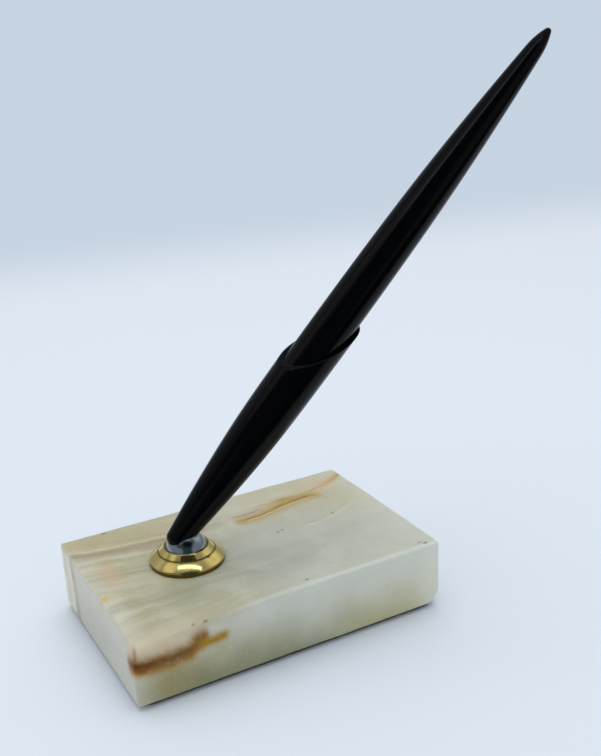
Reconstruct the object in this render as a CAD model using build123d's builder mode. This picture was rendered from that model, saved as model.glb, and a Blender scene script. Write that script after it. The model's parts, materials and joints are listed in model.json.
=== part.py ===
"""Desk pen stand: a polished stone block, a brass ball socket, a trumpet-shaped holder and a tapered ball pen.

Millimetres. The origin is the centre of the felt's underside, +Z is up, +X is the way the pen leans
along the block's length, and -Y is the block's front.
"""
import os
from math import cos, radians, sin, sqrt

from build123d import *

# Stone block and its felt
block_length = 100.0
block_width = 64.6
block_height = 20.7
edge_round = 0.9
felt_thickness = 1.5
felt_inset = 1.1
felt_corner = 4.0

# Worn corner at the front left: its reach along the three edges that meet there, and how softly it rolls over
worn_along = 30.0
worn_back = 11.0
worn_down = 8.6
worn_round = 2.0

# Bruised corner at the bottom, front right: its reach along the same three edges
bruise_along = 3.4
bruise_back = 3.4
bruise_up = 4.0

# Where the swivel stands, from the block's centre
socket_x = -19.85
socket_y = 0.63

# Ball, and how high its centre lies above the stone
ball_radius = 6.46
ball_height = 3.5

# Brass flange: the dome's width outside its shoulder, the shoulder's width outside the ring, and the cup below
dome_width = 2.95
rim_height = 1.4
rim_round = 0.45
shoulder_land = 0.12
shoulder_height = 3.67
dome_bulge = 0.22
chamber_clearance = 0.3
shank_wall = 1.3
floor_thickness = 2.2
shank_clearance = 0.15
shank_end_gap = 0.3

# Retaining ring: its lip over the ball, the flare above the lip, its crown and band, and the thread below
lip_height = 1.3
ring_ball_gap = 0.05
mouth_flare = 0.24
mouth_height = 0.39
crown_land = 0.3
band_width = 1.33
ring_edge = 0.35
ring_bulge = 0.12
ring_thread_wall = 1.3
ring_thread_length = 2.4
ring_thread_gap = 0.05
ring_end_gap = 0.2

# Friction seat under the ball and the dished spring under the seat
seat_gap = 0.04
seat_side_gap = 0.08
seat_top_drop = 3.4
seat_floor = 1.0
seat_hole_radius = 2.6
spring_inner_radius = 3.2
spring_outer_radius = 6.2
spring_strip = 0.5
spring_height = 1.3
spring_gap = 0.02

# Stud, washers and nut under the stone
stud_radius = 2.5
stud_gap = 0.03
stud_hole_clearance = 0.3
stud_recess = 0.1
stud_past_nut = 0.9
counterbore_radius = 7.5
counterbore_depth = 7.5
washer_radius = 5.5
washer_thickness = 1.0
washer_clearance = 0.2
lock_washer_radius = 4.4
lock_washer_thickness = 1.2
lock_washer_slit = 0.6
nut_across_flats = 8.0
nut_height = 3.2

# Holder: its lean from upright, how far below the ball's crown its axis passes, its wall and its seat on the ball
holder_lean = 45.0
holder_sink = 1.66
holder_wall = 1.15
holder_seat_gap = 0.03

# Holder's outside: radii, and where they lie along its axis from the point nearest the ball's centre
nose_end_at = -1.75
nose_bulge = 3.4
nose_bulge_at = 0.2
nose_shoulder = 4.38
nose_shoulder_at = 8.0
holder_low = 6.05
holder_low_at = 24.0
holder_mid = 7.31
holder_mid_at = 42.0
holder_high = 7.76
holder_high_at = 60.0
holder_end = 7.93

# Scooped mouth: where its short side, middle and long side lie along the axis, its turn about the axis, and how
# far past its long side the holder's outline runs before the scoop is cut
scoop_short_at = 60.8
scoop_middle_at = 73.2
scoop_long_at = 86.75
scoop_turn = 13.2
scoop_spare = 5.25
scoop_margin = 5.0

# Stud between ball and holder: its lean from upright, thread, and reach each way from the ball's centre
holder_stud_lean = 19.0
holder_stud_radius = 2.0
holder_stud_gap = 0.03
holder_stud_into_ball = 3.0
holder_stud_reach = 13.2
holder_stud_end_gap = 0.3

# Well for the pen's point below the ledge that the pen stands on, and the pen's fit in the holder
well_radius = 3.5
well_depth = 8.5
pen_clearance = 0.2
ledge_gap = 0.2

# Pen outside the holder: its fit in the mouth, its radii, and the lengths of its taper from its fullest place up
mouth_clearance = 0.23
barrel_joint_at = 52.0
barrel_full_at = 95.0
barrel_upper = 5.87
barrel_upper_length = 41.5
barrel_tail = 4.05
barrel_tail_length = 36.0
tail_shoulder = 2.95
tail_shoulder_length = 16.0
tail_tip = 1.0
tail_bullet_length = 8.4
tail_blunt_length = 0.6

# Barrel's bore and the section's thread in it
barrel_bore = 3.0
barrel_bore_length = 96.0
section_thread_radius = 4.4
section_thread_length = 10.0
section_thread_gap = 0.04
section_end_gap = 0.3
section_bore = 2.0

# Metal nose cone, screwed into the section
cone_base_radius = 3.1
cone_tip_radius = 1.5
cone_length = 5.2
cone_thread_radius = 2.6
cone_thread_length = 6.0
cone_thread_gap = 0.04
cone_stop_depth = 2.0

# Refill: tube, ink, brass tip and writing ball
refill_radius = 1.6
refill_wall = 0.45
refill_length = 108.0
refill_gap = 0.05
tip_collar_length = 2.0
tip_shank_length = 5.0
tip_shank_gap = 0.02
tip_nose_radius = 1.0
tip_nose_length = 3.4
tip_reach = 2.2
tip_point_radius = 0.62
writing_ball_radius = 0.5
writing_ball_gap = 0.02
writing_ball_inset = 0.25
ink_gap = 0.02
ink_tail_space = 14.0

os.makedirs("parts", exist_ok=True)

# Levels of the block and the socket
stone_bottom = felt_thickness
stone_top = stone_bottom + block_height
ball_z = stone_top + ball_height
chamber_radius = ball_radius + chamber_clearance
shank_radius = chamber_radius + shank_wall
seat_radius = ball_radius + seat_gap
seat_bottom = ball_z - seat_radius - seat_floor
spring_bottom = seat_bottom - spring_gap - spring_height
chamber_floor = spring_bottom - spring_gap
shank_bottom = chamber_floor - floor_thickness
shoulder_z = stone_top + shoulder_height
ring_inner = ball_radius + ring_ball_gap
ring_mouth_radius = ring_inner + mouth_flare
ring_crown_radius = ring_mouth_radius + crown_land
ring_radius = ring_crown_radius + band_width
shoulder_radius = ring_radius + shoulder_land
flange_radius = shoulder_radius + dome_width
ring_top = ball_height + lip_height + mouth_height
ring_thread_radius = ring_inner + ring_thread_wall
ring_foot = shoulder_z - ring_thread_length
web_bottom = stone_bottom + counterbore_depth
washer_bottom = web_bottom - washer_thickness
lock_washer_bottom = washer_bottom - lock_washer_thickness
nut_bottom = lock_washer_bottom - nut_height
stud_bottom = nut_bottom - stud_past_nut
stud_top = chamber_floor - stud_recess

# Upright half plane through the socket, for turned pieces
socket_plane = Plane(origin=(socket_x, socket_y, 0), x_dir=(1, 0, 0), z_dir=(0, -1, 0))
socket_axis = Axis((socket_x, socket_y, 0), (0, 0, 1))
ball_centre = Vector(socket_x, socket_y, ball_z)

# Holder's axis leans towards +X and passes above the ball's centre; the scoop's long side is turned about it
lean = radians(holder_lean)
turn = radians(scoop_turn)
holder_dir = Vector(sin(lean), 0, cos(lean))
holder_up = Vector(-cos(lean), 0, sin(lean))
holder_foot = ball_centre + holder_up * (ball_radius - holder_sink)
scoop_side = holder_up * -cos(turn) + Vector(0, sin(turn), 0)
holder_plane = Plane(origin=holder_foot, x_dir=scoop_side, z_dir=scoop_side.cross(holder_dir))
holder_axis = Axis(holder_foot, holder_dir)

# Places along the holder's axis that the pen takes from the holder and from its own pieces
holder_end_at = scoop_long_at + scoop_spare
barrel_full = holder_end - holder_wall - mouth_clearance
barrel_upper_at = barrel_full_at + barrel_upper_length
barrel_tail_at = barrel_upper_at + barrel_tail_length
tail_shoulder_at = barrel_tail_at + tail_shoulder_length
tail_tip_at = tail_shoulder_at + tail_bullet_length
pen_end_at = tail_tip_at + tail_blunt_length
ledge_at = holder_low_at
section_front_at = ledge_at + ledge_gap
section_low = holder_low - holder_wall - pen_clearance
section_mid = holder_mid - holder_wall - pen_clearance
section_high = holder_high - holder_wall - pen_clearance
cone_tip_at = section_front_at - cone_length
cone_stop_at = section_front_at - cone_stop_depth
collar_front_at = cone_stop_at + refill_gap
refill_front_at = collar_front_at + tip_collar_length
refill_back_at = refill_front_at + refill_length
refill_bore = refill_radius - refill_wall
tip_point_at = cone_tip_at - tip_reach
tip_back_at = refill_front_at + tip_shank_length
thread_back_at = barrel_joint_at + section_thread_length

# Stud between ball and holder leans less than the holder does
stud_lean = radians(holder_stud_lean)
holder_stud_dir = Vector(sin(stud_lean), 0, cos(stud_lean))


def stud_plane(distance):
    """Plane square to the holder's stud, at a distance along it from the ball's centre."""
    return Plane(origin=ball_centre + holder_stud_dir * distance, z_dir=holder_stud_dir)


def pen_plane(distance):
    """Plane square to the holder's axis, at a distance along it, facing up the pen."""
    return Plane(origin=holder_foot + holder_dir * distance, x_dir=scoop_side, z_dir=holder_dir)


def socket_disc(radius, level):
    """Sketch of a disc about the socket's axis, at a level."""
    with BuildSketch(Plane.XY.offset(level)) as disc:
        with Locations((socket_x, socket_y)):
            Circle(radius)
    return disc.sketch


def pen_disc(radius, distance):
    """Sketch of a disc about the holder's axis, at a distance along it."""
    with BuildSketch(pen_plane(distance)) as disc:
        Circle(radius)
    return disc.sketch


def pen_outline():
    """Sketch of the half outline of barrel and section together, to be turned about the holder's axis."""
    with BuildSketch(holder_plane) as outline:
        with BuildLine():
            taper = Spline(
                (section_low, section_front_at),
                (section_mid, holder_mid_at),
                (section_high, holder_high_at),
                (barrel_full, barrel_full_at),
                (barrel_upper, barrel_upper_at),
                (barrel_tail, barrel_tail_at),
                (tail_shoulder, tail_shoulder_at),
            )
            bullet = TangentArc(taper @ 1, (tail_tip, tail_tip_at), tangent=taper % 1)
            TangentArc((0, pen_end_at), bullet @ 1, tangent=(1, 0))
            Polyline((0, pen_end_at), (0, section_front_at), (section_low, section_front_at))
        make_face()
    return outline.sketch


# Stone block: worn corner, bruised corner, rounded edges, socket hole from above and counterbore from below
with BuildPart() as stone_base:
    with Locations((0, 0, stone_bottom)):
        Box(block_length, block_width, block_height, align=(Align.CENTER, Align.CENTER, Align.MIN))
    worn_corner = Vector(-block_length / 2, -block_width / 2, stone_top)
    bruised_corner = Vector(block_length / 2, -block_width / 2, stone_bottom)
    worn_plane = Plane(
        origin=worn_corner + Vector(0, worn_back, 0),
        z_dir=(-1 / worn_along, -1 / worn_back, 1 / worn_down),
    )
    bruise_plane = Plane(
        origin=bruised_corner + Vector(0, bruise_back, 0),
        z_dir=(1 / bruise_along, -1 / bruise_back, -1 / bruise_up),
    )
    split(bisect_by=worn_plane, keep=Keep.BOTTOM)
    split(bisect_by=bruise_plane, keep=Keep.BOTTOM)
    fillet(stone_base.faces().sort_by_distance(worn_corner)[0].edges(), worn_round)
    straight = stone_base.edges().filter_by(GeomType.LINE)
    fillet(straight.filter_by(lambda edge: edge.length > edge_round), edge_round)
    extrude(
        socket_disc(shank_radius + shank_clearance, stone_top),
        amount=-(stone_top - shank_bottom + shank_end_gap),
        mode=Mode.SUBTRACT,
    )
    extrude(socket_disc(counterbore_radius, stone_bottom), amount=counterbore_depth, mode=Mode.SUBTRACT)
    extrude(
        socket_disc(stud_radius + stud_hole_clearance, web_bottom),
        amount=shank_bottom - web_bottom,
        mode=Mode.SUBTRACT,
    )
stone_base.part.label = "stone_base"
export_step(stone_base.part, "parts/stone_base.step")

# Felt pad, set in from the block's edges
with BuildPart() as felt_pad:
    with BuildSketch():
        RectangleRounded(block_length - 2 * felt_inset, block_width - 2 * felt_inset, felt_corner)
    extrude(amount=felt_thickness)
felt_pad.part.label = "felt_pad"
export_step(felt_pad.part, "parts/felt_pad.step")

# Brass flange: domed top with an upright rim, and the cup that is let into the stone
with BuildPart() as base_flange:
    with BuildSketch(socket_plane):
        with BuildLine():
            rim_top = (flange_radius, stone_top + rim_height)
            shoulder = (shoulder_radius, shoulder_z)
            thread_bore = ring_thread_radius + ring_thread_gap
            thread_floor = ring_foot - ring_end_gap
            Polyline(
                (0, shank_bottom),
                (shank_radius, shank_bottom),
                (shank_radius, stone_top),
                (flange_radius, stone_top),
                rim_top,
            )
            SagittaArc(rim_top, shoulder, -dome_bulge)
            Polyline(
                shoulder,
                (thread_bore, shoulder_z),
                (thread_bore, thread_floor),
                (chamber_radius, thread_floor),
                (chamber_radius, chamber_floor),
                (0, chamber_floor),
                (0, shank_bottom),
            )
        make_face()
    revolve(axis=socket_axis)
    outer_edges = base_flange.edges().filter_by(GeomType.CIRCLE).group_by(SortBy.RADIUS)[-1]
    fillet(outer_edges.sort_by(Axis.Z)[-1], rim_round)
    extrude(socket_disc(stud_radius + stud_gap, shank_bottom), amount=floor_thickness, mode=Mode.SUBTRACT)
base_flange.part.label = "base_flange"
export_step(base_flange.part, "parts/base_flange.step")

# Retaining ring: bevelled band above the flange, thread below, and a lip that closes over the ball
with BuildPart() as retaining_ring:
    with BuildSketch(socket_plane):
        with BuildLine():
            band_top = (ring_radius, shoulder_z + ring_edge)
            crown = (ring_crown_radius, stone_top + ring_top)
            lip = (sqrt(ring_inner**2 - lip_height**2), ball_z + lip_height)
            Polyline(
                (ring_inner, ball_z),
                (ring_inner, ring_foot),
                (ring_thread_radius, ring_foot),
                (ring_thread_radius, shoulder_z),
                (ring_radius, shoulder_z),
                band_top,
            )
            SagittaArc(band_top, crown, -ring_bulge)
            Polyline(crown, (ring_mouth_radius, stone_top + ring_top), lip)
            RadiusArc(lip, (ring_inner, ball_z), ring_inner)
        make_face()
    revolve(axis=socket_axis)
retaining_ring.part.label = "retaining_ring"
export_step(retaining_ring.part, "parts/retaining_ring.step")

# Friction seat: a short cup hollowed to the ball
with BuildPart() as ball_seat:
    extrude(socket_disc(chamber_radius - seat_side_gap, seat_bottom), amount=ball_z - seat_top_drop - seat_bottom)
    with Locations(ball_centre):
        Sphere(seat_radius, mode=Mode.SUBTRACT)
    extrude(socket_disc(seat_hole_radius, seat_bottom), amount=seat_radius, mode=Mode.SUBTRACT)
ball_seat.part.label = "ball_seat"
export_step(ball_seat.part, "parts/ball_seat.step")

# Dished spring washer between the cup's floor and the seat
with BuildPart() as disc_spring:
    with BuildSketch(socket_plane):
        with BuildLine():
            Polyline(
                (spring_inner_radius, spring_bottom + spring_height - spring_strip),
                (spring_outer_radius, spring_bottom),
                (spring_outer_radius, spring_bottom + spring_strip),
                (spring_inner_radius, spring_bottom + spring_height),
                close=True,
            )
        make_face()
    revolve(axis=socket_axis)
disc_spring.part.label = "disc_spring"
export_step(disc_spring.part, "parts/disc_spring.step")

# Mounting stud from the cup's floor to below the nut
with BuildPart() as mounting_stud:
    extrude(socket_disc(stud_radius, stud_bottom), amount=stud_top - stud_bottom)
mounting_stud.part.label = "mounting_stud"
export_step(mounting_stud.part, "parts/mounting_stud.step")

# Plain washer against the stone's web
with BuildPart() as plain_washer:
    extrude(socket_disc(washer_radius, washer_bottom), amount=washer_thickness)
    extrude(socket_disc(stud_radius + washer_clearance, washer_bottom), amount=washer_thickness, mode=Mode.SUBTRACT)
plain_washer.part.label = "plain_washer"
export_step(plain_washer.part, "parts/plain_washer.step")

# Split lock washer
with BuildPart() as lock_washer:
    with BuildSketch(Plane.XY.offset(lock_washer_bottom)):
        with Locations((socket_x, socket_y)):
            Circle(lock_washer_radius)
            Circle(stud_radius + washer_clearance, mode=Mode.SUBTRACT)
            Rectangle(
                lock_washer_radius * 2,
                lock_washer_slit,
                align=(Align.MIN, Align.CENTER),
                mode=Mode.SUBTRACT,
            )
    extrude(amount=lock_washer_thickness)
lock_washer.part.label = "lock_washer"
export_step(lock_washer.part, "parts/lock_washer.step")

# Hexagon nut
with BuildPart() as fixing_nut:
    with BuildSketch(Plane.XY.offset(nut_bottom)):
        with Locations((socket_x, socket_y)):
            RegularPolygon(nut_across_flats / 2, 6, major_radius=False)
            Circle(stud_radius + stud_gap, mode=Mode.SUBTRACT)
    extrude(amount=nut_height)
fixing_nut.part.label = "fixing_nut"
export_step(fixing_nut.part, "parts/fixing_nut.step")

# Bright ball, tapped for the holder's stud
with BuildPart() as swivel_ball:
    with Locations(ball_centre):
        Sphere(ball_radius)
    hole_depth = holder_stud_into_ball + holder_stud_end_gap
    with BuildSketch(stud_plane(-hole_depth)):
        Circle(holder_stud_radius + holder_stud_gap)
    extrude(amount=hole_depth + ball_radius, mode=Mode.SUBTRACT)
swivel_ball.part.label = "swivel_ball"
export_step(swivel_ball.part, "parts/swivel_ball.step")

# Stud between ball and holder
with BuildPart() as holder_stud:
    with BuildSketch(stud_plane(-holder_stud_into_ball)):
        Circle(holder_stud_radius)
    extrude(amount=holder_stud_into_ball + holder_stud_reach)
holder_stud.part.label = "holder_stud"
export_step(holder_stud.part, "parts/holder_stud.step")

# Holder: a trumpet turned about its axis, bored for the pen, scooped at the mouth and hollowed over the ball
with BuildPart() as pen_holder:
    with BuildSketch(holder_plane):
        with BuildLine():
            TangentArc((0, nose_end_at), (nose_bulge, nose_bulge_at), tangent=(1, 0))
            Spline(
                (nose_bulge, nose_bulge_at),
                (nose_shoulder, nose_shoulder_at),
                (holder_low, holder_low_at),
                (holder_mid, holder_mid_at),
                (holder_high, holder_high_at),
                (holder_end, holder_end_at),
            )
            Polyline((holder_end, holder_end_at), (0, holder_end_at), (0, nose_end_at))
        make_face()
    revolve(axis=holder_axis)
    with BuildSketch(holder_plane):
        with BuildLine():
            Spline(
                (holder_low - holder_wall, holder_low_at),
                (holder_mid - holder_wall, holder_mid_at),
                (holder_high - holder_wall, holder_high_at),
                (holder_end - holder_wall, holder_end_at),
            )
            Polyline(
                (holder_end - holder_wall, holder_end_at),
                (0, holder_end_at),
                (0, ledge_at),
                (holder_low - holder_wall, ledge_at),
            )
        make_face()
    revolve(axis=holder_axis, mode=Mode.SUBTRACT)
    extrude(pen_disc(well_radius, ledge_at), amount=-well_depth, mode=Mode.SUBTRACT)
    with BuildSketch(holder_plane):
        with BuildLine():
            short_side = (-holder_end, scoop_short_at)
            long_side = (holder_end, scoop_long_at)
            ThreePointArc(short_side, (0, scoop_middle_at), long_side)
            Polyline(
                long_side,
                (holder_end + scoop_margin, scoop_long_at),
                (holder_end + scoop_margin, holder_end_at + scoop_margin),
                (-holder_end - scoop_margin, holder_end_at + scoop_margin),
                (-holder_end - scoop_margin, scoop_short_at),
                short_side,
            )
        make_face()
    extrude(amount=holder_end + scoop_margin, both=True, mode=Mode.SUBTRACT)
    with Locations(ball_centre):
        Sphere(ball_radius + holder_seat_gap, mode=Mode.SUBTRACT)
    with BuildSketch(stud_plane(0)):
        Circle(holder_stud_radius + holder_stud_gap)
    extrude(amount=holder_stud_reach + holder_stud_end_gap, mode=Mode.SUBTRACT)
pen_holder.part.label = "pen_holder"
export_step(pen_holder.part, "parts/pen_holder.step")

# Pen barrel: the tapered tail half of the pen, bored for the refill and threaded for the section
with BuildPart() as pen_barrel:
    revolve(pen_outline(), axis=holder_axis)
    split(bisect_by=pen_plane(barrel_joint_at), keep=Keep.TOP)
    extrude(
        pen_disc(section_thread_radius + section_thread_gap, barrel_joint_at),
        amount=section_thread_length + section_end_gap,
        mode=Mode.SUBTRACT,
    )
    extrude(pen_disc(barrel_bore, thread_back_at), amount=barrel_bore_length, mode=Mode.SUBTRACT)
pen_barrel.part.label = "pen_barrel"
export_step(pen_barrel.part, "parts/pen_barrel.step")

# Grip section: the front half of the pen, with its thread into the barrel
with BuildPart() as grip_section:
    revolve(pen_outline(), axis=holder_axis)
    split(bisect_by=pen_plane(barrel_joint_at), keep=Keep.BOTTOM)
    extrude(pen_disc(section_thread_radius, barrel_joint_at), amount=section_thread_length)
    extrude(
        pen_disc(section_bore, section_front_at),
        amount=thread_back_at - section_front_at,
        mode=Mode.SUBTRACT,
    )
    extrude(
        pen_disc(cone_thread_radius + cone_thread_gap, section_front_at),
        amount=cone_thread_length + section_end_gap,
        mode=Mode.SUBTRACT,
    )
grip_section.part.label = "grip_section"
export_step(grip_section.part, "parts/grip_section.step")

# Metal nose cone with its thread, bored for the refill up to a stop
with BuildPart() as nose_cone:
    with BuildSketch(holder_plane):
        with BuildLine():
            cone_bore = refill_radius + refill_gap
            cone_hole = tip_nose_radius + refill_gap
            cone_back_at = section_front_at + cone_thread_length
            Polyline(
                (cone_hole, cone_tip_at),
                (cone_tip_radius, cone_tip_at),
                (cone_base_radius, section_front_at),
                (cone_thread_radius, section_front_at),
                (cone_thread_radius, cone_back_at),
                (cone_bore, cone_back_at),
                (cone_bore, cone_stop_at),
                (cone_hole, cone_stop_at),
                close=True,
            )
        make_face()
    revolve(axis=holder_axis)
nose_cone.part.label = "nose_cone"
export_step(nose_cone.part, "parts/nose_cone.step")

# Refill tube
with BuildPart() as refill_tube:
    extrude(pen_disc(refill_radius, refill_front_at), amount=refill_length)
    extrude(pen_disc(refill_bore, refill_front_at), amount=refill_length, mode=Mode.SUBTRACT)
refill_tube.part.label = "refill_tube"
export_step(refill_tube.part, "parts/refill_tube.step")

# Ink in the tube, behind the tip's shank
with BuildPart() as ink_column:
    extrude(pen_disc(refill_bore - ink_gap, tip_back_at), amount=refill_back_at - ink_tail_space - tip_back_at)
ink_column.part.label = "ink_column"
export_step(ink_column.part, "parts/ink_column.step")

# Brass tip: shank in the tube, collar on the cone's stop, nose through the cone and a cup for the writing ball
with BuildPart() as refill_tip:
    with BuildSketch(holder_plane):
        with BuildLine():
            Polyline(
                (0, tip_point_at),
                (tip_point_radius, tip_point_at),
                (tip_nose_radius, collar_front_at - tip_nose_length),
                (tip_nose_radius, collar_front_at),
                (refill_radius, collar_front_at),
                (refill_radius, refill_front_at),
                (refill_bore - tip_shank_gap, refill_front_at),
                (refill_bore - tip_shank_gap, tip_back_at),
                (0, tip_back_at),
                close=True,
            )
        make_face()
    revolve(axis=holder_axis)
    with Locations(holder_foot + holder_dir * (tip_point_at + writing_ball_inset)):
        Sphere(writing_ball_radius + writing_ball_gap, mode=Mode.SUBTRACT)
refill_tip.part.label = "refill_tip"
export_step(refill_tip.part, "parts/refill_tip.step")

# Writing ball
with BuildPart() as writing_ball:
    with Locations(holder_foot + holder_dir * (tip_point_at + writing_ball_inset)):
        Sphere(writing_ball_radius)
writing_ball.part.label = "writing_ball"
export_step(writing_ball.part, "parts/writing_ball.step")
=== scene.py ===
"""Desk pen stand, dressed for its picture: polished banded stone, brass ball socket, black holder and pen.

Metres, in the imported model's frame: the origin is the centre of the felt's underside, +Z is up, +X is the way
the pen leans along the block and -Y is the block's front. Every piece stands where its CAD node stands.
"""
import json
from math import cos, exp, pi, radians, sin

import bpy
import numpy as np
from mathutils import Matrix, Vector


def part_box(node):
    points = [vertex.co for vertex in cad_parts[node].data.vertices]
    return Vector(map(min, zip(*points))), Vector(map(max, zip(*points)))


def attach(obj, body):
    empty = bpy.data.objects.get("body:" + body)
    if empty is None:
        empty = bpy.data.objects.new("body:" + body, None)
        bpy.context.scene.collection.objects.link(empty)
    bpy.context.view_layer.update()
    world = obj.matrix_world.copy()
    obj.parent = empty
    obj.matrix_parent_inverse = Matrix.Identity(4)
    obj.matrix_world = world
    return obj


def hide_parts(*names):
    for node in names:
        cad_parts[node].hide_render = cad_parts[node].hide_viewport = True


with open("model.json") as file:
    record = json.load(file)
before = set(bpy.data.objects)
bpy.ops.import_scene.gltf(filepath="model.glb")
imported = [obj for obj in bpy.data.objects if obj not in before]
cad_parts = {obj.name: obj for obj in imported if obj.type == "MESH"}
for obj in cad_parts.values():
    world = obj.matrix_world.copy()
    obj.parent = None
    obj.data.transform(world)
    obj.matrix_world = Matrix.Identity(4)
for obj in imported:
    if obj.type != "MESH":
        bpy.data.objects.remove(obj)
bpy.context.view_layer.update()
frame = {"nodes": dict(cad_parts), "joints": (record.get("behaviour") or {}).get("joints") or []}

bl_info = {
    "name": "Desk pen stand",
    "version": (1, 0, 0),
    "blender": (4, 5, 0),
    "location": "3D View > Sidebar > Pen stand",
    "description": "Builds a stone desk stand with a swivelling pen holder and its pen",
    "category": "Object",
}

MM = 0.001
PER_METRE = 1000.0
# The photograph in pixels; the camera's sensor in millimetres and its nearest sight in metres
PHOTO_WIDTH = 601
PHOTO_HEIGHT = 756
SENSOR_WIDTH = 36.0
CLIP_START = 0.01
# Faces that meet at more than this are drawn with a crisp edge
SHARP_ANGLE = radians(38)


def corners(node):
    """Lowest and highest corner of a CAD node."""
    low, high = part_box(node)
    return np.array(low), np.array(high)


# Places that the pieces take from the frame
STONE_LOW, STONE_HIGH = corners("stone_base")
FELT_LOW, FELT_HIGH = corners("felt_pad")
FLANGE_LOW, FLANGE_HIGH = corners("base_flange")
RING_LOW, RING_HIGH = corners("retaining_ring")
BALL_LOW, BALL_HIGH = corners("swivel_ball")
BALL_CENTRE = (BALL_LOW + BALL_HIGH) / 2
BALL_RADIUS = float(BALL_HIGH[0] - BALL_LOW[0]) / 2
RING_RADIUS = float(RING_HIGH[0] - RING_LOW[0]) / 2
FLANGE_RADIUS = float(FLANGE_HIGH[0] - FLANGE_LOW[0]) / 2
STONE_TOP = float(STONE_HIGH[2])
AHEAD = np.array([1.0, 0.0, 0.0])
SIDE = np.array([0.0, 1.0, 0.0])
UP = np.array([0.0, 0.0, 1.0])
PEN_AXIS = np.array(next(joint["axis"] for joint in frame["joints"] if joint["name"] == "pen_lift"))
PEN_ABOVE = np.cross(PEN_AXIS, SIDE)

# Level directions in the room: to the right, and to the front, roughly towards the camera
RIGHTWARD = (0.94, -0.35, 0.0)
FRONTWARD = (-0.35, -0.94, 0.0)

# Small sizes of the socket: its cup and flange, then its ring
CHAMBER_PLAY = 0.3 * MM
CUP_THREAD = 1.4 * MM
CUP_WALL = 1.3 * MM
CUP_FLOOR = 2.2 * MM
CUP_STUD = 2.53 * MM
THREAD_RELIEF = 0.2 * MM
RIM_CHAMFER = 0.1 * MM
LIP_PLAY = 0.05 * MM
RING_THREAD = 1.3 * MM
BAND_CHAMFER = 0.06 * MM
CROWN_ROLL = 0.05 * MM
CROWN_DROP = 0.04 * MM

# Small sizes of the block, the felt, the holder's rim and the pen's joint
HOLE_BEVEL = 0.3 * MM
FELT_FRAY = 0.07 * MM
FELT_BULGE = 0.45 * MM
RIM_DROP = 0.16 * MM
RIM_PART = 0.25
JOINT_CHAMFER = 0.08 * MM

# The block's edge as a part of its largest radius, and its waves: size, number round the block and start
EDGE_PART = 0.70
EDGE_WAVES = ((0.15, 5, 1.0), (0.08, 13, 0.4), (0.06, 31, 0.0))
FOOT_PART = 0.6

# The floor's first and last ring and the place of its underside's point, in metres
FLOOR_START = 0.05
FLOOR_REACH = 12.0
FLOOR_DROP = 0.0002
FLOOR_DEPTH = 0.5


def unit(vector):
    """A direction of length one."""
    return np.array(vector) / np.linalg.norm(vector)


def length(name, description, millimetres):
    """A length that a user may change."""
    return bpy.props.FloatProperty(
        name=name, description=description, default=millimetres * MM, precision=5, unit="LENGTH"
    )


def angle(name, description, degrees):
    """An angle that a user may change."""
    return bpy.props.FloatProperty(
        name=name, description=description, default=radians(degrees), unit="ROTATION"
    )


def colour(name, description, shade):
    """A colour that a user may change."""
    return bpy.props.FloatVectorProperty(
        name=name, description=description, default=shade, size=3, min=0.0, max=1.0, subtype="COLOR"
    )


def place(name, description, *millimetres):
    """Three lengths that a user may change."""
    point = [each * MM for each in millimetres]
    return bpy.props.FloatVectorProperty(
        name=name, description=description, default=point, size=3, precision=5, unit="LENGTH", subtype="XYZ"
    )


class StoneSettings(bpy.types.PropertyGroup):
    """The block and its felt."""

    edge_round: length("Edge round", "Largest radius of the block's edges", 1.0)
    worn_reach: place("Worn corner", "Reach of the worn corner along, back and down", 30.0, 11.0, 8.6)
    worn_soft: length("Worn softness", "Width over which the worn corner rolls into the faces", 7.0)
    bruise_reach: place("Bruise", "Reach of the bruised corner along, back and up", 3.4, 3.4, 4.0)
    bruise_soft: length("Bruise softness", "Width over which the bruise rolls into the faces", 0.8)
    hole_radius: length("Socket hole", "Radius of the hole for the socket's cup", 8.21)
    hole_depth: length("Socket depth", "Depth of the hole for the socket's cup", 8.84)
    bore_radius: length("Counterbore", "Radius of the counterbore for the nut", 7.5)
    bore_depth: length("Counterbore depth", "Depth of the counterbore for the nut", 7.5)
    stud_hole: length("Stud hole", "Radius of the hole for the stud", 2.8)
    felt_corner: length("Felt corner", "Radius of the felt's corners", 4.0)
    grey: colour("Grey green", "Grey layers", (0.35, 0.37, 0.285))
    pale: colour("Pale", "The stone's tone on the right", (0.54, 0.55, 0.44))
    cream: colour("Cream", "The stone's tone on the left", (0.46, 0.435, 0.29))
    olive: colour("Olive", "Deep layers", (0.24, 0.25, 0.17))
    ochre: colour("Ochre", "Ochre veins", (0.45, 0.30, 0.06))
    rust: colour("Rust", "Brown vein", (0.155, 0.045, 0.002))
    felt: colour("Felt", "Pressed felt", (0.012, 0.028, 0.018))


class SocketSettings(bpy.types.PropertyGroup):
    """Brass flange and ring, and the plated ball."""

    rim_height: length("Rim height", "Height of the flange's upright rim", 1.4)
    rim_round: length("Rim round", "Rounding between rim and dome", 0.45)
    dome_bulge: length("Dome bulge", "Bulge of the dome's slope", 0.08)
    shoulder_land: length("Shoulder", "Width of the dome's shoulder outside the ring", 0.12)
    shoulder_height: length("Shoulder height", "Height of the dome's shoulder above the stone", 3.67)
    band_edge: length("Band edge", "Height of the ring's upright edge", 0.12)
    band_width: length("Band width", "Width of the ring's slope", 1.33)
    band_bulge: length("Band bulge", "Bulge of the ring's slope", 0.005)
    crown_land: length("Crown", "Width of the ring's flat crown", 0.3)
    lip_height: length("Lip height", "Height of the ring's lip above the ball's centre", 1.3)
    brass: colour("Brass", "Polished brass", (0.79, 0.63, 0.21))
    # This dark colour also paints shade on the flange's rim
    tarnish_and_rim_shade: colour("Tarnish", "Brass in its crevices", (0.135, 0.092, 0.014))
    plating: colour("Plating", "Bright plating", (0.34, 0.39, 0.42))


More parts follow.
